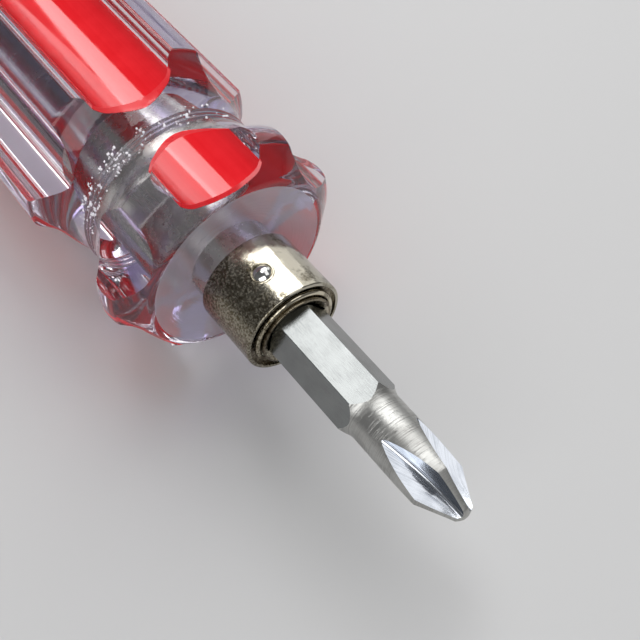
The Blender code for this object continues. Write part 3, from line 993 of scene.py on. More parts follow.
class Finishes:
    """All the materials, built once."""

    def __init__(self) -> None:
        """Builds every material."""
        self.make_plastics()
        self.make_platings()
        self.make_steels()
        self.board = PaleBoard("pale_board").build()

    def make_plastics(self) -> None:
        """Makes the clear and red plastics: polished, turned, faced, bored and torn."""
        self.polished_clear = ClearPlastic(
            "clear_polished",
            haze=0.01,
            draw=0.0015 * MM,
            swell=0.0045 * MM,
        ).build()
        self.turned_clear = ClearPlastic(
            "clear_turned",
            haze=0.015,
            gloss=(0.02, 0.08),
            rings=0.004 * MM,
        ).build()
        self.faced_clear = ClearPlastic(
            "clear_faced",
            tint=(0.94, 0.925, 1.0, 1.0),
            haze=0.34,
            gloss=(0.05, 0.16),
            rings=0.03 * MM,
        ).build()
        self.bored_clear = ClearPlastic(
            "clear_bored",
            haze=0.04,
            gloss=(0.15, 0.3),
            rings=0.02 * MM,
        ).build()
        self.frosted_clear = ClearPlastic(
            "clear_frosted",
            haze=0.12,
            gloss=(0.06, 0.3),
            rings=0.03 * MM,
        ).build()
        self.burr_clear = ClearPlastic("clear_burrs", haze=0.7, gloss=(0.1, 0.3)).build()
        self.red = RedPlastic(
            "red_inlay",
            deep=(0.9, 0.004, 0.012, 1.0),
            bright=(1.0, 0.014, 0.024, 1.0),
            gloss=(0.06, 0.14),
        ).build()
        self.cut_red = RedPlastic(
            "red_cut",
            deep=(0.92, 0.01, 0.02, 1.0),
            bright=(1.0, 0.035, 0.045, 1.0),
            gloss=(0.25, 0.4),
        ).build()

    def make_platings(self) -> None:
        """Makes the nickel of the sleeve and tang, the ring's paler nickel that also paints light, and a dark
        one that paints shade.
        """
        self.nickel = Plating("nickel_plate").build()
        # The ring's paler nickel, also a lighter copy that paints light on the staked rim, the key hole's
        # wall and the mouth's cone.
        self.ring_and_lit_nickel = Plating("ring_and_lit_nickel", clean=(0.66, 0.60, 0.47, 1.0), gloss=(0.08, 0.2)).build()
        # A dull, darker copy of the nickel: painted shade for the hidden and recessed faces.
        self.dull_shaded_nickel = Plating(
            "dull_shaded_nickel",
            clean=(0.26, 0.225, 0.165, 1.0),
            stain_and_shade=(0.07, 0.05, 0.03, 1.0),
            gloss=(0.2, 0.4),
        ).build()
        self.tang_nickel = Plating(
            "tang_nickel",
            clean=(0.62, 0.61, 0.57, 1.0),
            stain_and_shade=(0.36, 0.34, 0.29, 1.0),
            gloss=(0.2, 0.36),
            flank_shade_rate=0,
        ).build()

    def make_steels(self) -> None:
        """Makes the drawn, turned and ground steel of the blade, the spring's wire and the balls."""
        self.hexagon = Steel(
            "drawn_steel",
            light=(0.25, 0.26, 0.257, 1.0),
            dark=(0.20, 0.208, 0.206, 1.0),
            gloss=(0.16, 0.24),
            mark_scales=(900, 60),
            marks=0.0006 * MM,
            grain=0.005 * MM,
        ).build()
        self.turned = Steel(
            "turned_steel",
            light=(0.52, 0.52, 0.50, 1.0),
            dark=(0.34, 0.335, 0.32, 1.0),
            gloss=(0.34, 0.48),
            mark_scales=(9000, 0.8),
            marks=0.018 * MM,
            grain=0.004 * MM,
        ).build()
        self.ground = Steel(
            "ground_steel",
            light=(0.64, 0.67, 0.72, 1.0),
            dark=(0.42, 0.45, 0.50, 1.0),
            gloss=(0.1, 0.2),
            mark_scales=(300, 30),
            marks=0.002 * MM,
            grain=0.001 * MM,
        ).build()
        self.spring = Steel(
            "spring_wire",
            light=(0.42, 0.41, 0.40, 1.0),
            dark=(0.25, 0.24, 0.23, 1.0),
            gloss=(0.25, 0.4),
            mark_scales=(900, 9),
            marks=0.004 * MM,
            grain=0.003 * MM,
        ).build()
        self.ball = Steel(
            "ball_polish",
            light=(0.72, 0.72, 0.70, 1.0),
            dark=(0.5, 0.5, 0.48, 1.0),
            gloss=(0.04, 0.14),
            mark_scales=(700, 9),
            marks=0.001 * MM,
            grain=0.0005 * MM,
        ).build()


# Sub-assemblies


@dataclass
class Handle:
    """The clear handle, its red inlays and the burrs that turning left in its neck."""

    finishes: Finishes
    butt: float = -109.5 * MM
    butt_rounding: float = 5.5 * MM
    grip_front: float = -28.5 * MM
    grip_curve: float = 6.6 * MM
    neck_rear: float = -22.3 * MM
    neck_front: float = -20.6 * MM
    knob_curve: float = 10.0 * MM
    knob_rear: float = -15.2 * MM
    knob_front: float = -12.0 * MM
    face: float = -9.5 * MM
    face_dish: float = 1.4 * MM
    grip_radius: float = 13.8 * MM
    grip_edge: float = 0.4 * MM
    knob_radius: float = 13.4 * MM
    knob_crown: float = 0.3 * MM
    face_radius: float = 10.6 * MM
    rim_edge: float = 0.45 * MM
    neck_radius: float = 10.7 * MM
    ring_depth: float = 0.3 * MM
    ring_edge: float = 0.16 * MM
    ring_station_shares: tuple[float, ...] = (0.0, 0.12, 0.3, 0.42, 0.52, 0.7, 0.82, 1.0)
    ring_depth_shares: tuple[float, ...] = (0.0, 1.0, 0.05, 0.15, 1.0, 0.0, 0.85, 0.0)
    clear_floor: float = 11.05 * MM
    clear_half: float = radians(20.5)
    red_floor: float = 11.27 * MM
    red_flat: float = 3.4 * MM
    red_curve: float = 1.82 * MM
    red_lip: float = 1.0 * MM
    inlay_sweep: float = radians(36)
    red_hollow: float = 0.03 * MM
    red_thickness: float = 0.35 * MM
    bond: float = 0.03 * MM
    land_edge: float = 0.35 * MM
    land_edge_share: float = 0.45
    crease: float = radians(20)
    tang_radius: float = 4.85 * MM
    tang_end: float = -30.9 * MM
    store_radius: float = 3.76 * MM
    store_end: float = -95.5 * MM
    store_point: float = radians(30)
    burr_seed: int = 7
    burr_count: int = 220
    burr_reach: float = 0.9 * MM
    burr_front_share: float = 1 / 3
    burr_sizes: Point = (0.06 * MM, 0.25 * MM)
    burr_squeeze_shares: Point = (0.4, 1.0)
    burr_rough_shares: Point = (0.7, 1.2)
    burr_clusters: tuple[Point, ...] = (
        (radians(38), radians(9)),
        (radians(66), radians(10)),
        (radians(5), radians(25)),
    )
    over: float = 2.0 * MM
    flutes: int = 6
    steps: int = 240
    arc_steps: int = 24
    curve_steps: int = 12
    land_steps: int = 10
    crown_steps: int = 8
    ring_steps: int = 5
    edge_steps: int = 4
    grip_edge_points: int = 4

    def neck(self) -> list[Triple]:
        """Gives the neck's turned rings.

        Returns:
            Corners from its front to its rear: radius, station and how far the rounding reaches.
        """
        length = self.neck_front - self.neck_rear
        corners = []
        for station, depth in zip(self.ring_station_shares, self.ring_depth_shares):
            place = self.neck_front - length * station
            corners.append((self.neck_radius - self.ring_depth * depth, place, self.ring_edge))
        return corners

    def knob_land(self) -> list[Point]:
        """Gives the knob's widest part, which swells a little between its two edges.

        Returns:
            Points from its front to its rear, as radius and station.
        """
        half = (self.knob_front - self.knob_rear) / 2
        radius = (half**2 + self.knob_crown**2) / (2 * self.knob_crown)
        reach = asin(half / radius)
        centre = (self.knob_radius + self.knob_crown - radius, self.knob_rear + half)
        return arc(centre, radius, reach, -reach, self.crown_steps)

    def outside(self) -> list[Point]:
        """Gives the turned outline.

        Returns:
            Points from the face's rim to the butt's centre, as radius and station.
        """
        land = self.knob_land()
        rim = softened([
            (self.face_radius - 2 * self.rim_edge, self.face, 0),
            (self.face_radius, self.face, self.rim_edge),
            (*land[0], self.rim_edge),
            (*land[1], 0),
        ])
        neck_front, neck_rear = (self.neck_radius, self.neck_front), (self.neck_radius, self.neck_rear)
        knob = hollow_arc(land[-1], neck_front, self.knob_curve, self.arc_steps)
        grip = hollow_arc(neck_rear, (self.grip_radius, self.grip_front), self.grip_curve, self.arc_steps)
        centre = (self.grip_radius - self.butt_rounding, self.butt + self.butt_rounding)
        butt = arc(centre, self.butt_rounding, 0, -pi / 2, self.arc_steps)
        kept = -self.grip_edge_points
        corner = softened([(*grip[kept], 0), (*grip[-1], self.grip_edge), (*butt[0], 0)])
        front = rim + land[2:-1] + knob[:-1] + softened(self.neck(), self.ring_steps)
        return front + grip[1:kept] + corner + butt[1:] + [(0, self.butt)]

    def hollow(self) -> list[Point]:
        """Gives the bore, with the tang's seat bonded to it.

        Returns:
            Points from its blind end to the face, as radius and station.
        """
        seat = self.tang_radius - self.bond
        return [
            (0, self.store_end - self.store_radius * tan(self.store_point)),
            (self.store_radius, self.store_end),
            (self.store_radius, self.tang_end),
            (seat, self.tang_end),
            (seat, self.face - self.face_dish),
        ]

    def beside(self, offset: float, start: float, end: float) -> list[Point]:
        """Gives a stretch of the curve at the right of the red floor.

        Args:
            offset: How far it is pushed into the bar.
            start: Angle where it starts, from straight down.
            end: Angle where it ends.

        Returns:
            Points as (across, out).
        """
        centre = (self.red_flat, self.red_floor + self.red_curve)
        return arc(centre, self.red_curve + offset, start - pi / 2, end - pi / 2, self.curve_steps)

    def channel(self, offset: float, end: float) -> list[Point]:
        """Gives the red floor's line from edge to edge.

        Args:
            offset: How far it is pushed into the bar.
            end: Angle where its curved sides end, from straight down.

        Returns:
            Points as (across, out).
        """
        count = self.curve_steps
        right = self.beside(offset, 0, end)
        span = [self.red_flat * (2 * i / count - 1) for i in range(1, count)]
        floor = self.red_floor - offset
        middle = [(x, floor - self.red_hollow * (1 - (x / self.red_flat) ** 2)) for x in span]
        return self.mirrored(right) + middle + right

    def mirrored(self, points: Sequence[Point]) -> list[Point]:
        """Gives the left-hand half that matches a right-hand one."""
        return [(-x, y) for x, y in reversed(points)]

    def wall(self, start: float) -> list[Point]:
        """Gives the bare wall beside an inlay.

        Args:
            start: Angle where the inlay ends, from straight down.

        Returns:
            Points as (across, out), up to the wall's lip on the land.
        """
        centre = Vector((self.red_flat, self.red_floor + self.red_curve))
        reach = self.red_curve + self.red_lip
        spare = (self.grip_radius - self.red_lip) ** 2 - centre.length_squared - reach**2
        end = atan2(centre.y, centre.x) + asin(spare / (2 * reach * centre.length))
        x, y = centre.x + reach * sin(end), centre.y - reach * cos(end)
        lip = arc((x, y), self.red_lip, end + pi / 2, atan2(y, x), self.curve_steps)
        return self.beside(0, start, end) + lip[1:]

    def turned_to(self, points: Iterable[Point], angle: float) -> list[Point]:
        """Turns section points (across, out) to the flute at this polar angle."""
        out, side = (cos(angle), sin(angle)), (-sin(angle), cos(angle))
        return [(out[0] * y + side[0] * x, out[1] * y + side[1] * x) for x, y in points]

    def flute(self, index: int) -> list[Point]:
        """Gives one flute's line from land to land.

        Args:
            index: Its number; the even ones are red.

        Returns:
            The section's points, of which both ends lie on the grip's radius.
        """
        if index % 2:
            chord, rise = self.grip_radius * sin(self.clear_half), self.grip_radius * cos(self.clear_half)
            drop = rise - self.clear_floor
            radius = (chord**2 + drop**2) / (2 * drop)
            half = atan2(chord, self.clear_floor + radius - rise)
            centre = (0, self.clear_floor + radius)
            line = arc(centre, radius, -pi / 2 - half, -pi / 2 + half, 2 * self.arc_steps)
        else:
            end = self.inlay_sweep - self.bond / self.red_curve
            wall = self.wall(end)
            line = self.mirrored(wall) + self.channel(self.red_thickness - self.bond, end) + wall
        return self.turned_to(line, 2 * pi * index / self.flutes)

    def section(self) -> list[Point]:
        """Gives the whole fluted section, with the clear flutes' edges rounded.

        Returns:
            The closed section's points.
        """
        points: list[Point] = []
        for index in range(self.flutes):
            line = self.flute(index)
            if points:
                points += self.land(points[-1], line[0])
            points += line
        points += self.land(points[-1], points[0])
        return self.eased(points)

    def land(self, start: Point, end: Point) -> list[Point]:
        """Gives the points of a land between two flutes.

        Args:
            start: Where the first flute ends.
            end: Where the next one starts.

        Returns:
            The points between the two.
        """
        a, b = atan2(start[1], start[0]), atan2(end[1], end[0])
        sweep = (b - a + pi) % (2 * pi) - pi
        return arc((0, 0), self.grip_radius, a, a + sweep, self.land_steps)[1:-1]

    def eased(self, points: Sequence[Point]) -> list[Point]:
        """Rounds the section's sharp corners.

        Args:
            points: The closed section.

        Returns:
            The section with a short smooth curve in place of each sharp corner on the lands.
        """
        eased: list[Point] = []
        for i, here in enumerate(points):
            corner = Vector(here)
            back, on = Vector(points[i - 1]) - corner, Vector(points[(i + 1) % len(points)]) - corner
            if on.angle(-back) < self.crease or corner.length < self.grip_radius - self.bond:
                eased.append(here)
                continue
            shortest = min(back.length, on.length)
            reach = min(self.land_edge, shortest * self.land_edge_share)
            first, last = corner + back.normalized() * reach, corner + on.normalized() * reach
            eased += rounded(first, corner, last, self.edge_steps)
        return eased

    def finish_at(self, radius: float, station: float) -> Look:
        """Picks the finish that turning and boring left.

        Args:
            radius: Radius of the place.
            station: Its station.

        Returns:
            The finish.
        """
        if radius < self.tang_radius + self.bond and station > self.butt + self.bond:
            return self.finishes.bored_clear
        if self.neck_rear < station < self.neck_front:
            return self.finishes.frosted_clear
        if radius < self.face_radius - self.rim_edge and station > self.face - self.face_dish:
            return self.finishes.faced_clear
        return self.finishes.turned_clear

    def build_body(self) -> Piece:
        """Builds the clear body: the fluted bar, turned to its outline and bored.

        Returns:
            The piece.
        """
        made = self.finishes
        bar = extruded("clear_handle", self.section(), self.butt - self.over, self.face + self.over)
        painted(bar, made.polished_clear)
        lathe = turned("handle_outline", self.hollow() + self.outside(), self.steps)
        looks = [made.turned_clear, made.bored_clear, made.frosted_clear, made.faced_clear]
        join(bar, zoned(lathe, looks, self.finish_at), Join.TRIM)
        return finished(bar, Body.ROOT, Slot.CLEAR, ["handle"])

    def build_inlays(self) -> list[Piece]:
        """Builds the red inlays, as many in the grip as in the knob.

        Returns:
            The pieces.
        """
        middle = (self.neck_front + self.neck_rear) / 2
        spans = {"grip": (self.butt - self.over, middle), "knob": (middle, self.face + self.over)}
        sweep, count = self.inlay_sweep, self.flutes // 2
        outline = self.channel(0, sweep)[::-1] + self.channel(self.red_thickness, sweep)
        pieces = []
        for where, (low, high) in spans.items():
            strip = extruded(f"red_{where}_inlay_1", self.turned_to(outline, 0), low, high)
            painted(strip, self.finishes.red)
            lathe = turned("inlay_outline", [(0, self.face)] + self.outside(), self.steps)
            join(strip, painted(lathe, self.finishes.cut_red), Join.TRIM)
            strips = [strip]
            for i in range(1, count):
                strips.append(copied(strip, f"red_{where}_inlay_{i + 1}", 2 * pi * i / count))
            for i, piece in enumerate(strips, 1):
                pieces.append(finished(piece, Body.ROOT, Slot.RED, [f"{where}_inlay_{i}"]))
        return pieces

    def surface_at(self, station: float) -> float:
        """Gives the turned outline's radius at a station."""
        return min(self.outside(), key=lambda point: abs(point[1] - station))[0]

    def crumb(self, ball: Sequence[Vector], random: Random) -> list[Vector]:
        """Squeezes, roughens and places one crumb.

        Args:
            ball: Corners of a small ball of radius one.
            random: Where its chances come from.

        Returns:
            The crumb's corners.
        """
        middle, spread = random.choice(self.burr_clusters)
        angle = random.gauss(middle, spread)
        front = self.neck_front + self.burr_reach * self.burr_front_share
        station = random.uniform(self.neck_rear - self.burr_reach, front)
        size = random.uniform(*self.burr_sizes)
        place = Matrix.Rotation(angle, 4, "Z") @ Matrix.Translation((self.surface_at(station), 0, station))
        turn = Matrix.Rotation(random.uniform(0, pi), 4, Vector([random.gauss(0, 1) for _ in range(3)]))
        shape = [size * random.uniform(*self.burr_squeeze_shares) for _ in range(3)]
        corners = []
        for corner in ball:
            rough = Vector([c * s * random.uniform(*self.burr_rough_shares) for c, s in zip(corner, shape)])
            corners.append(place @ (turn @ rough))
        return corners

    def build_burrs(self) -> Piece:
        """Scatters the crumbs that the turning tool left in the neck.

        Returns:
            The piece.
        """
        random = Random(self.burr_seed)
        ball = {"subdivisions": 1, "radius": 1}
        crumbs = added("neck_burrs", bpy.ops.mesh.primitive_ico_sphere_add, **ball)
        corners = [v.co.copy() for v in crumbs.data.vertices]
        bpy.ops.object.mode_set(mode="EDIT")
        for _ in range(self.burr_count - 1):
            bpy.ops.mesh.primitive_ico_sphere_add(**ball)
        bpy.ops.object.mode_set(mode="OBJECT")
        places = [place for _ in range(self.burr_count) for place in self.crumb(corners, random)]
        for vertex, place in zip(crumbs.data.vertices, places):
            vertex.co = place
        painted(crumbs, self.finishes.burr_clear)
        return finished(crumbs, Body.ROOT, Slot.CLEAR)

    def build(self) -> None:
        """Builds every piece of the handle."""
        self.build_body()
        self.build_inlays()
        self.build_burrs()


@dataclass
class Chuck:
    """The socket body, release sleeve, retaining ring, key ball and spring."""

    finishes: Finishes
    turn: float = radians(8.5)
    sleeve_length: float = 8.0 * MM
    sleeve_radius: float = 5.6 * MM
    sleeve_edge: float = 0.28 * MM
    inner_edge_share: float = 1 / 3
    flange_edge_share: float = 1 / 4
    sleeve_mouth: float = 5.2 * MM
    mouth_depth: float = 0.45 * MM
    flange: float = 4.45 * MM
    flange_end: float = 0.9 * MM
    skirt: float = 5.0 * MM
    land: float = 4.75 * MM
    land_end: float = 5.05 * MM
    ramp: float = 0.65 * MM
    relief: float = 5.08 * MM
    relief_end: float = 2.8 * MM
    travel: float = 1.5 * MM
    body_radius: float = 4.3 * MM
    tube_radius: float = Handle.tang_radius
    shoulder: float = -7.9 * MM
    tang_end: float = Handle.tang_end
    nose: float = 0.6 * MM
    nose_radius: float = 4.12 * MM
    nose_edge: float = 0.1 * MM
    mouth_rim: float = 0.25 * MM
    mouth_cone: float = 0.5 * MM
    groove_radius: float = 4.04 * MM
    groove_half: float = 0.38 * MM
    ring_station: float = -0.03 * MM
    ring_radius: float = 4.42 * MM
    ring_wire: float = 0.3 * MM
    ring_gap: float = radians(55)
    ring_gap_turn: float = radians(75)
    hexagon: float = 3.15 * MM
    ball_radius: float = 1.0 * MM
    ball_station: float = -3.85 * MM
    ball_out: float = 4.72 * MM
    dome_radius: float = 1.3 * MM
    dome_reach: float = 0.93 * MM
    dome_rise: float = 0.34 * MM
    dome_edge: float = 0.1 * MM
    hole_radius: float = 1.06 * MM
    way_radius: float = 1.1 * MM
    slot_floor: float = 3.4 * MM
    stake_width: float = 0.13 * MM
    stake_height: float = 0.07 * MM
    spring_wire: float = 0.15 * MM
    spring_gap: float = 0.12 * MM
    spring_turns: int = 2
    wire_crease: float = radians(40)
    over: float = 2.0 * MM
    steps: int = 192
    sweep_steps: int = 144
    hole_steps: int = 64
    dome_steps: int = 16
    arc_steps: int = 24
    wire_steps: int = 20
    stake_steps: tuple[int, int] = (72, 14)
    spring_steps: int = 32
    spring_facets: int = 4

    def finish_at(self, radius: float, station: float) -> Look:
        """Picks the socket body's finish.

        Args:
            radius: Radius of the place.
            station: Its station.

        Returns:
            Dull nickel darkened as painted shade on the nose and in the groove, tang nickel behind the
            shoulder, else nickel.
        """
        if station > self.ring_station - self.groove_half or radius < self.groove_radius:
            return self.finishes.dull_shaded_nickel
        return self.finishes.tang_nickel if station < self.shoulder else self.finishes.nickel

    def sleeve_finish_at(self, radius: float, _: float) -> Look:
        """Picks the sleeve's finish: nickel outside, and inside a dull nickel darkened as painted shade."""
        return self.finishes.dull_shaded_nickel if radius < self.relief else self.finishes.nickel

    def build_body(self) -> Piece:
        """Builds the socket body, with its hexagon bore and its retaining groove.

        Returns:
            The piece.
        """
        made, edge = self.finishes, self.nose_edge
        front, rear = self.ring_station + self.groove_half, self.ring_station - self.groove_half
        profile = softened([
            (0, self.nose, 0),
            (self.nose_radius, self.nose, edge),
            (self.nose_radius, front, 0),
            (self.groove_radius, front, 0),
            (self.groove_radius, rear, 0),
            (self.body_radius, rear, 0),
            (self.body_radius, self.shoulder, 0),
            (self.tube_radius, self.shoulder, edge),
            (self.tube_radius, self.tang_end, edge),
            (0, self.tang_end, 0),
        ])
        body = turned("chuck_body", profile, self.steps)
        zoned(body, [made.nickel, made.dull_shaded_nickel, made.tang_nickel], self.finish_at)
        low, high = self.tang_end - self.over, self.nose + self.over
        bore = hexagon_rod("hexagon_bore", self.hexagon, self.turn, low, high)
        join(body, painted(bore, made.hexagon), Join.CUT)
        lip = self.nose_radius - self.mouth_rim
        slope = (lip - self.hexagon) / self.mouth_cone
        cone = [(0, self.nose - lip / slope), (lip + self.over * slope, high), (0, high)]
        # The mouth's cone takes the paler nickel, painted light.
        join(body, painted(turned("mouth_cone", cone, self.steps), made.ring_and_lit_nickel), Join.CUT)
        # The ball ways' walls take the darker nickel, painted shade.
        for cutter in self.ball_ways():
            join(body, painted(cutter, made.dull_shaded_nickel), Join.CUT)
        return finished(body, Body.ROOT, Slot.NICKEL, ["socket_body"])

    def ball_ways(self) -> Iterable[Piece]:
        """Draws what cuts the ways of the two balls.

        Returns:
            The cutters of the key ball's slot and of the lock ball's hole.
        """
        front = arc((0, 0), self.way_radius, pi / 2, 3 * pi / 2, self.arc_steps)
        rear = arc((self.travel, 0), self.way_radius, -pi / 2, pi / 2, self.arc_steps)
        slot = extruded("key_slot", front + rear, self.slot_floor, self.sleeve_radius)
        settle(slot, self.outward(0))
        yield slot
        hole = rod("lock_hole", self.way_radius, self.ball_radius, self.sleeve_radius, 2 * self.arc_steps)
        settle(hole, Matrix.Rotation(pi, 4, "Z") @ self.outward(0))
        yield hole

    def build_sleeve(self) -> Piece:
        """Builds the release sleeve with its rounded rims and the key ball's hole.

        Returns:
            The piece.
        """
        made, edge = self.finishes, self.sleeve_edge
        inner = edge * self.inner_edge_share
        profile = softened([
            (self.sleeve_mouth, -self.mouth_depth / 2, 0),
            (self.sleeve_mouth, 0, inner),
            (self.sleeve_radius, 0, edge),
            (self.sleeve_radius, -self.sleeve_length, edge),
            (self.skirt, -self.sleeve_length, inner),
            (self.skirt, -self.land_end, 0),
            (self.land, -self.land_end, 0),
            (self.land, -self.relief_end - self.ramp, 0),
            (self.relief, -self.relief_end, 0),
            (self.relief, -self.flange_end, 0),
            (self.flange, -self.flange_end, 0),
            (self.flange, -self.mouth_depth, edge * self.flange_edge_share),
            (self.sleeve_mouth, -self.mouth_depth, 0),
        ])
        sleeve = turned("sleeve", profile, self.steps, ring=True)
        zoned(sleeve, [made.nickel, made.dull_shaded_nickel], self.sleeve_finish_at)
        # The key hole's wall takes the paler nickel, painted light.
        drill = rod("key_hole", self.hole_radius, 0, self.sleeve_radius + self.skirt, self.hole_steps)
        settle(drill, self.outward(0))
        join(sleeve, painted(drill, made.ring_and_lit_nickel), Join.CUT)
        return finished(sleeve, Body.SLEEVE, Slot.NICKEL, ["release_sleeve"])

    def outward(self, radius: float) -> Matrix:
        """Gives the place at the key ball's station whose local Z points out of the sleeve."""
        lift = Matrix.Translation((0, 0, self.ball_station)) @ Matrix.Rotation(self.turn, 4, "Z")
        return lift @ Matrix.Translation((radius, 0, 0)) @ Matrix.Rotation(pi / 2, 4, "Y")

    def build_stake(self) -> Piece:
        """Builds the raised rim that was pressed round the key ball's hole.

        Returns:
            The piece.
        """
        rim = added(
            "stake_rim",
            bpy.ops.mesh.primitive_torus_add,
            major_radius=self.hole_radius + self.stake_width / 2,
            minor_radius=self.stake_width,
            major_segments=self.stake_steps[0],
            minor_segments=self.stake_steps[1],
        )
        sink = self.stake_width - self.stake_height
        for vertex in rim.data.vertices:
            fall = self.sleeve_radius - sqrt(self.sleeve_radius**2 - vertex.co.y**2)
            vertex.co.z -= sink + fall
        settle(rim, self.outward(self.sleeve_radius))
        # The staked rim takes the paler nickel, a painted highlight.
        painted(rim, self.finishes.ring_and_lit_nickel)
        return finished(rim, Body.SLEEVE, Slot.NICKEL)

    def build_key_ball(self) -> Piece:
        """Builds the key ball, whose outer half was peened to a flatter dome that fills its hole.

        Returns:
            The piece.
        """
        top = self.sleeve_radius + self.dome_rise - self.ball_out
        reach = asin(self.dome_reach / self.dome_radius)
        dome = arc((0, top - self.dome_radius), self.dome_radius, pi / 2, pi / 2 - reach, self.dome_steps)
        lower = arc((0, 0), self.ball_radius, 0, -pi / 2, self.arc_steps)
        edge = (self.ball_radius, dome[-1][1] - self.dome_edge)
        half = [(0, top), *dome[1:], edge, *lower[:-1], (0, -self.ball_radius)]
        ball = painted(turned("staked_ball", half, self.hole_steps), self.finishes.ball)
        settle(ball, self.outward(self.ball_out))
        return finished(ball, Body.SLEEVE, Slot.BALL, ["key_ball"])

    def build_ring(self) -> Piece:
        """Builds the open retaining ring by sweeping its wire round the nose.

        Returns:
            The piece.
        """
        wire = arc((self.ring_radius, self.ring_station), self.ring_wire, 0, 2 * pi, self.wire_steps)[:-1]
        ring = drawn("clip_ring", [(radius, 0, station) for radius, station in wire], closed=True)
        sweep = 2 * pi - self.ring_gap
        bpy.ops.mesh.spin(steps=self.sweep_steps, angle=sweep, center=(0, 0, 0), axis=(0, 0, 1))
        settle(closed_off(ring), Matrix.Rotation(self.ring_gap_turn + self.ring_gap / 2, 4, "Z"))
        painted(ring, self.finishes.ring_and_lit_nickel)
        return finished(ring, Body.ROOT, Slot.NICKEL, ["retaining_ring"], crease=self.wire_crease)

    def build_spring(self) -> Piece:
        """Builds the wire spring behind the sleeve's land, at one length; it does not shorten as the sleeve
        goes back.

        Returns:
            The piece.
        """
        inset = self.spring_gap + self.spring_wire
        low, high = self.shoulder + inset, -self.land_end - inset
        radius = (self.body_radius + self.skirt) / 2
        count = self.spring_turns * self.spring_steps
        turns = [2 * pi * self.spring_turns * i / count for i in range(count + 1)]
        rise = (high - low) / turns[-1]
        drawn("return_spring", [(radius * cos(t), radius * sin(t), low + rise * t) for t in turns])
        bpy.ops.object.mode_set(mode="OBJECT")
        bpy.ops.object.convert(target="CURVE")
        wire = bpy.context.object.data
        wire.bevel_depth = self.spring_wire
        wire.bevel_resolution = self.spring_facets
        wire.use_fill_caps = True
        bpy.ops.object.convert(target="MESH")
        spring = bpy.context.object
        bpy.ops.object.mode_set(mode="EDIT")
        bpy.ops.mesh.select_all(action="SELECT")
        bpy.ops.mesh.remove_doubles(threshold=MERGE)
        painted(closed_off(spring), self.finishes.spring)
        finished(spring, Body.ROOT, Slot.SPRING, ["sleeve_spring"], crease=self.wire_crease)
        AXIS.place(0, 0, self.shoulder)
        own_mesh(spring)
        return spring

    def dress_hidden(self) -> None:
        """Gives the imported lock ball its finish."""
        painted(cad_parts["lock_ball"], self.finishes.ball)
        log.info("lock_ball: packed piece dressed")

    def build(self) -> None:
        """Builds every piece of the chuck."""
        self.build_body()
        self.build_sleeve()
        self.build_stake()
        self.build_key_ball()
        self.build_ring()
        self.build_spring()
        self.dress_hidden()


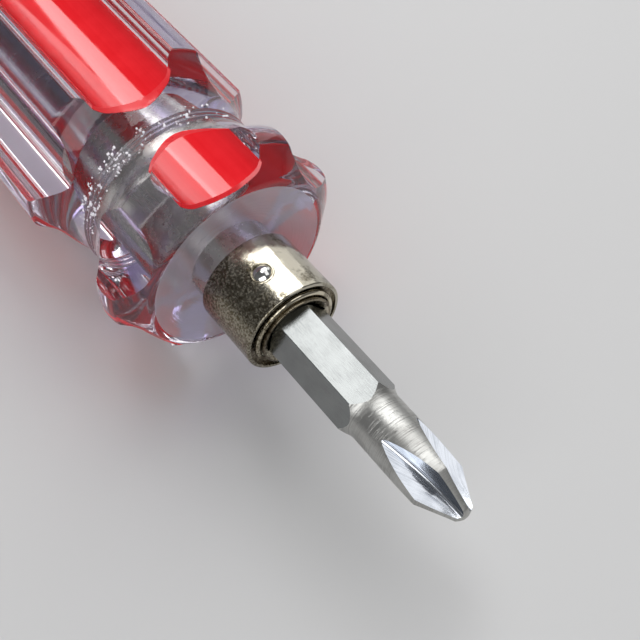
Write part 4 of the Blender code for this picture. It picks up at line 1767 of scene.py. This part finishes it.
@dataclass
class Blade:
    """The reversible blade: hexagon bar, turned neck, cross tip and slotted tip."""

    finishes: Finishes
    turn: float = Chuck.turn
    apothem: float = 3.0 * MM
    edge: float = 0.07 * MM
    edge_sharpness: float = radians(45)
    edge_facets: int = 2
    tip: float = 25.5 * MM
    rear: float = -94.5 * MM
    round_radius: float = 2.88 * MM
    round_edge: float = 0.5 * MM
    cone_start: float = 11.4 * MM
    cone_length: float = 1.05 * MM
    point_cone: float = 3.85 * MM
    point_length: float = 0.3 * MM
    point_radius: float = 1.0 * MM
    point_flat: float = 0.35 * MM
    flat_edge: float = 0.12 * MM
    point_edge: float = 0.15 * MM
    end_edge: float = 0.1 * MM
    cross_turn: float = radians(41)
    cross_count: int = 4
    cross_length: float = 9.6 * MM
    cross_deepest: float = 1.0 * MM
    cross_core: float = 0.6 * MM
    cross_root: float = 0.35 * MM
    cross_half: float = radians(46)
    rear_round: float = 13.0 * MM
    slot_thickness: float = 1.0 * MM
    slot_length: float = 9.0 * MM
    ball_radius: float = 1.1 * MM
    seat_radius: float = 1.25 * MM
    ball_out: float = 3.55 * MM
    ball_station: float = Chuck.ball_station
    travel: float = 61.0 * MM
    over: float = 2.0 * MM
    steps: int = 160
    wheel_steps: int = 360
    root_steps: int = 8
    track_steps: int = 48

    def envelope(self) -> Piece:
        """Turns the outline that trims both ends of the bar.

        Returns:
            The solid that is left of the bar.
        """
        corner = self.apothem / cos(pi / 6)
        clear = corner + self.over
        reach = self.cone_length * (clear - self.round_radius) / (corner - self.round_radius)
        front = self.cone_start + self.cone_length
        rear = self.rear + self.rear_round
        profile = softened([
            (0, self.tip, 0),
            (self.point_flat, self.tip, self.flat_edge),
            (self.point_radius, self.tip - self.point_length, self.point_edge),
            (self.round_radius, self.tip - self.point_cone, self.end_edge),
            (self.round_radius, front, self.round_edge),
            (clear, front - reach, 0),
            (clear, rear + reach, 0),
            (self.round_radius, rear, self.round_edge),
            (self.round_radius, self.rear, self.end_edge),
            (0, self.rear, 0),
        ])
        return painted(turned("blade_envelope", profile, self.steps), self.finishes.turned)

    def wheels(self) -> Iterable[Piece]:
        """Turns the grinding wheels that leave the cross tip's flutes.

        Returns:
            The wheels, each in its place.
        """
        reach = self.cross_length - self.cross_deepest
        rise = self.round_radius - self.cross_core
        radius = (reach**2 + rise**2) / (2 * rise)
        slope = pi / 2 - self.cross_half
        rim = arc((radius - self.cross_root, 0), self.cross_root, slope, -slope, self.root_steps)
        depth = self.round_radius + self.over
        width = rim[0][1] + depth * tan(self.cross_half)
        inner = rim[0][0] - depth
        profile = [(0, width), (inner, width), *rim, (inner, -width), (0, -width)]
        for i in range(self.cross_count):
            wheel = painted(turned("cross_wheel", profile, self.wheel_steps), self.finishes.ground)
            place = Matrix.Rotation(self.cross_turn + 2 * pi * i / self.cross_count, 4, "Z")
            place @= Matrix.Translation((self.cross_core + radius, 0, self.tip - self.cross_deepest))
            settle(wheel, place @ Matrix.Rotation(pi / 2, 4, "X"))
            yield wheel

    def slot_sides(self) -> Iterable[Piece]:
        """Adds the two blocks that leave the slotted tip between them.

        Returns:
            The blocks, each in its place.
        """
        lean = atan2(self.round_radius - self.slot_thickness / 2, self.slot_length)
        size = 2 * self.slot_length
        end = Matrix.Translation((0, 0, self.rear)) @ Matrix.Rotation(self.turn, 4, "Z")
        for side in (1, -1):
            block = added("slot_side", bpy.ops.mesh.primitive_cube_add, size=size)
            out = side * (self.slot_thickness / 2 + size / 2 / cos(lean))
            settle(block, end @ Matrix.Translation((out, 0, 0)) @ Matrix.Rotation(side * lean, 4, "Y"))
            yield painted(block, self.finishes.ground)

    def ball_track(self) -> Iterable[Piece]:
        """Adds what cuts the lock ball's groove and the seats at its ends.

        Returns:
            The cutters, each in its place.
        """
        front, rear = self.ball_station, self.ball_station - self.travel
        side = Matrix.Rotation(self.turn + pi, 4, "Z") @ Matrix.Translation((self.ball_out, 0, 0))
        groove = rod("ball_groove", self.ball_radius, rear, front, self.track_steps)
        settle(groove, side)
        yield painted(groove, self.finishes.ground)
        count = self.track_steps
        sizes = {"segments": count, "ring_count": count // 2, "radius": self.seat_radius}
        for station in (front, rear):
            seat = added("ball_seat", bpy.ops.mesh.primitive_uv_sphere_add, **sizes)
            settle(seat, side @ Matrix.Translation((0, 0, station)))
            yield painted(seat, self.finishes.ground)

    def build(self) -> Piece:
        """Builds the blade.

        Returns:
            The piece.
        """
        low, high = self.rear - self.over, self.tip + self.over
        blade = hexagon_rod("blade_bar", self.apothem, self.turn, low, high)
        bevel_edges(blade, self.edge, self.edge_sharpness, self.edge_facets)
        painted(blade, self.finishes.hexagon)
        join(blade, self.envelope(), Join.TRIM)
        for cutter in [*self.wheels(), *self.slot_sides(), *self.ball_track()]:
            join(blade, cutter, Join.CUT)
        return finished(blade, Body.BLADE, Slot.STEEL, ["blade"])


# Stage


@dataclass(frozen=True)
class Softbox:
    """A soft lamp that faces the chuck.

    Args:
        name: Its name.
        place: Where it hangs.
        size: Its width across the tool and its height.
        power: Its power, in watts.
    """

    name: str
    place: Triple
    size: Point
    power: float

    def facing(self) -> Matrix:
        """Gives the lamp's place and turn.

        Returns:
            The matrix whose Z points from the chuck to the lamp and whose X lies across the tool.
        """
        place = Vector(self.place)
        out = (place - AXIS.place(0, 0, 0)).normalized()
        across = (Vector((0, 1, 0)) - out * out.y).normalized()
        turn = Matrix((across, out.cross(across), out)).transposed()
        return Matrix.Translation(place) @ turn.to_4x4()

    def hang(self) -> None:
        """Hangs the lamp."""
        bpy.ops.object.light_add(type="AREA")
        lamp = bpy.context.object
        lamp.name = self.name
        lamp.data.shape = "RECTANGLE"
        lamp.data.size, lamp.data.size_y = self.size
        lamp.data.energy = self.power
        lamp.matrix_world = self.facing()


@dataclass
class Studio:
    """The pale floor, the soft lights and the camera at the photograph's angle."""

    finishes: Finishes
    floor_size: float = 3.0
    camera_station: float = 47.25 * MM
    camera_distance: float = 91.45 * MM
    camera_turn: float = radians(20.8)
    heading: float = radians(142.92)
    dip: float = radians(55.82)
    roll: float = radians(-0.44)
    lens: float = 58.35
    sensor: float = 36.0
    sky: Colour = (0.9, 0.9, 0.92, 1.0)
    sky_strength: float = 0.16
    softboxes: tuple[Softbox, ...] = (
        Softbox("overhead", (-0.167, 0.170, 0.281), (0.23, 0.30), 0.66),
        Softbox("side", (-0.167, 0.298, 0.143), (0.19, 0.30), 0.17),
        Softbox("front", (0.25, -0.21, 0.28), (0.46, 0.26), 0.84),
        Softbox("blade", (-0.095, 0.025, 0.366), (0.12, 0.16), 0.19),
        Softbox("forward", (0.10, 0.176, 0.344), (0.20, 0.24), 0.17),
    )

    def build_floor(self) -> None:
        """Lays the pale board under the tool."""
        floor = added("floor", bpy.ops.mesh.primitive_plane_add, size=self.floor_size)
        painted(floor, self.finishes.board)

    def build_lights(self) -> None:
        """Hangs the softboxes and sets the sky."""
        for softbox in self.softboxes:
            softbox.hang()
        world = bpy.data.worlds.new("sky")
        bpy.context.scene.world = world
        world.use_nodes = True
        backdrop = world.node_tree.nodes["Background"]
        backdrop.inputs["Color"].default_value = self.sky
        backdrop.inputs["Strength"].default_value = self.sky_strength

    def build_camera(self) -> None:
        """Sets the camera where the photograph was taken from."""
        place = AXIS.place(self.camera_turn, self.camera_distance, self.camera_station)
        level = cos(self.dip)
        forward = Vector((cos(self.heading) * level, sin(self.heading) * level, -sin(self.dip)))
        turn = forward.to_track_quat("-Z", "Y").to_matrix().to_4x4() @ Matrix.Rotation(self.roll, 4, "Z")
        bpy.ops.object.camera_add(location=place)
        camera = bpy.context.object
        camera.name = "camera"
        camera.matrix_world = Matrix.Translation(place) @ turn
        camera.data.lens = self.lens
        camera.data.sensor_width = self.sensor
        camera.data.clip_start = MM
        bpy.context.scene.camera = camera

    def build(self) -> None:
        """Builds the whole studio."""
        self.build_floor()
        self.build_lights()
        self.build_camera()
        bpy.context.scene.view_settings.view_transform = "Standard"


def main() -> None:
    """Builds the studio and the tool, and logs each piece's faces."""
    finishes = Finishes()
    Studio(finishes).build()
    Handle(finishes).build()
    Chuck(finishes).build()
    Blade(finishes).build()
    deselect()


if __name__ == "__main__":
    logging.basicConfig(level=logging.INFO, format="%(message)s")
    main()
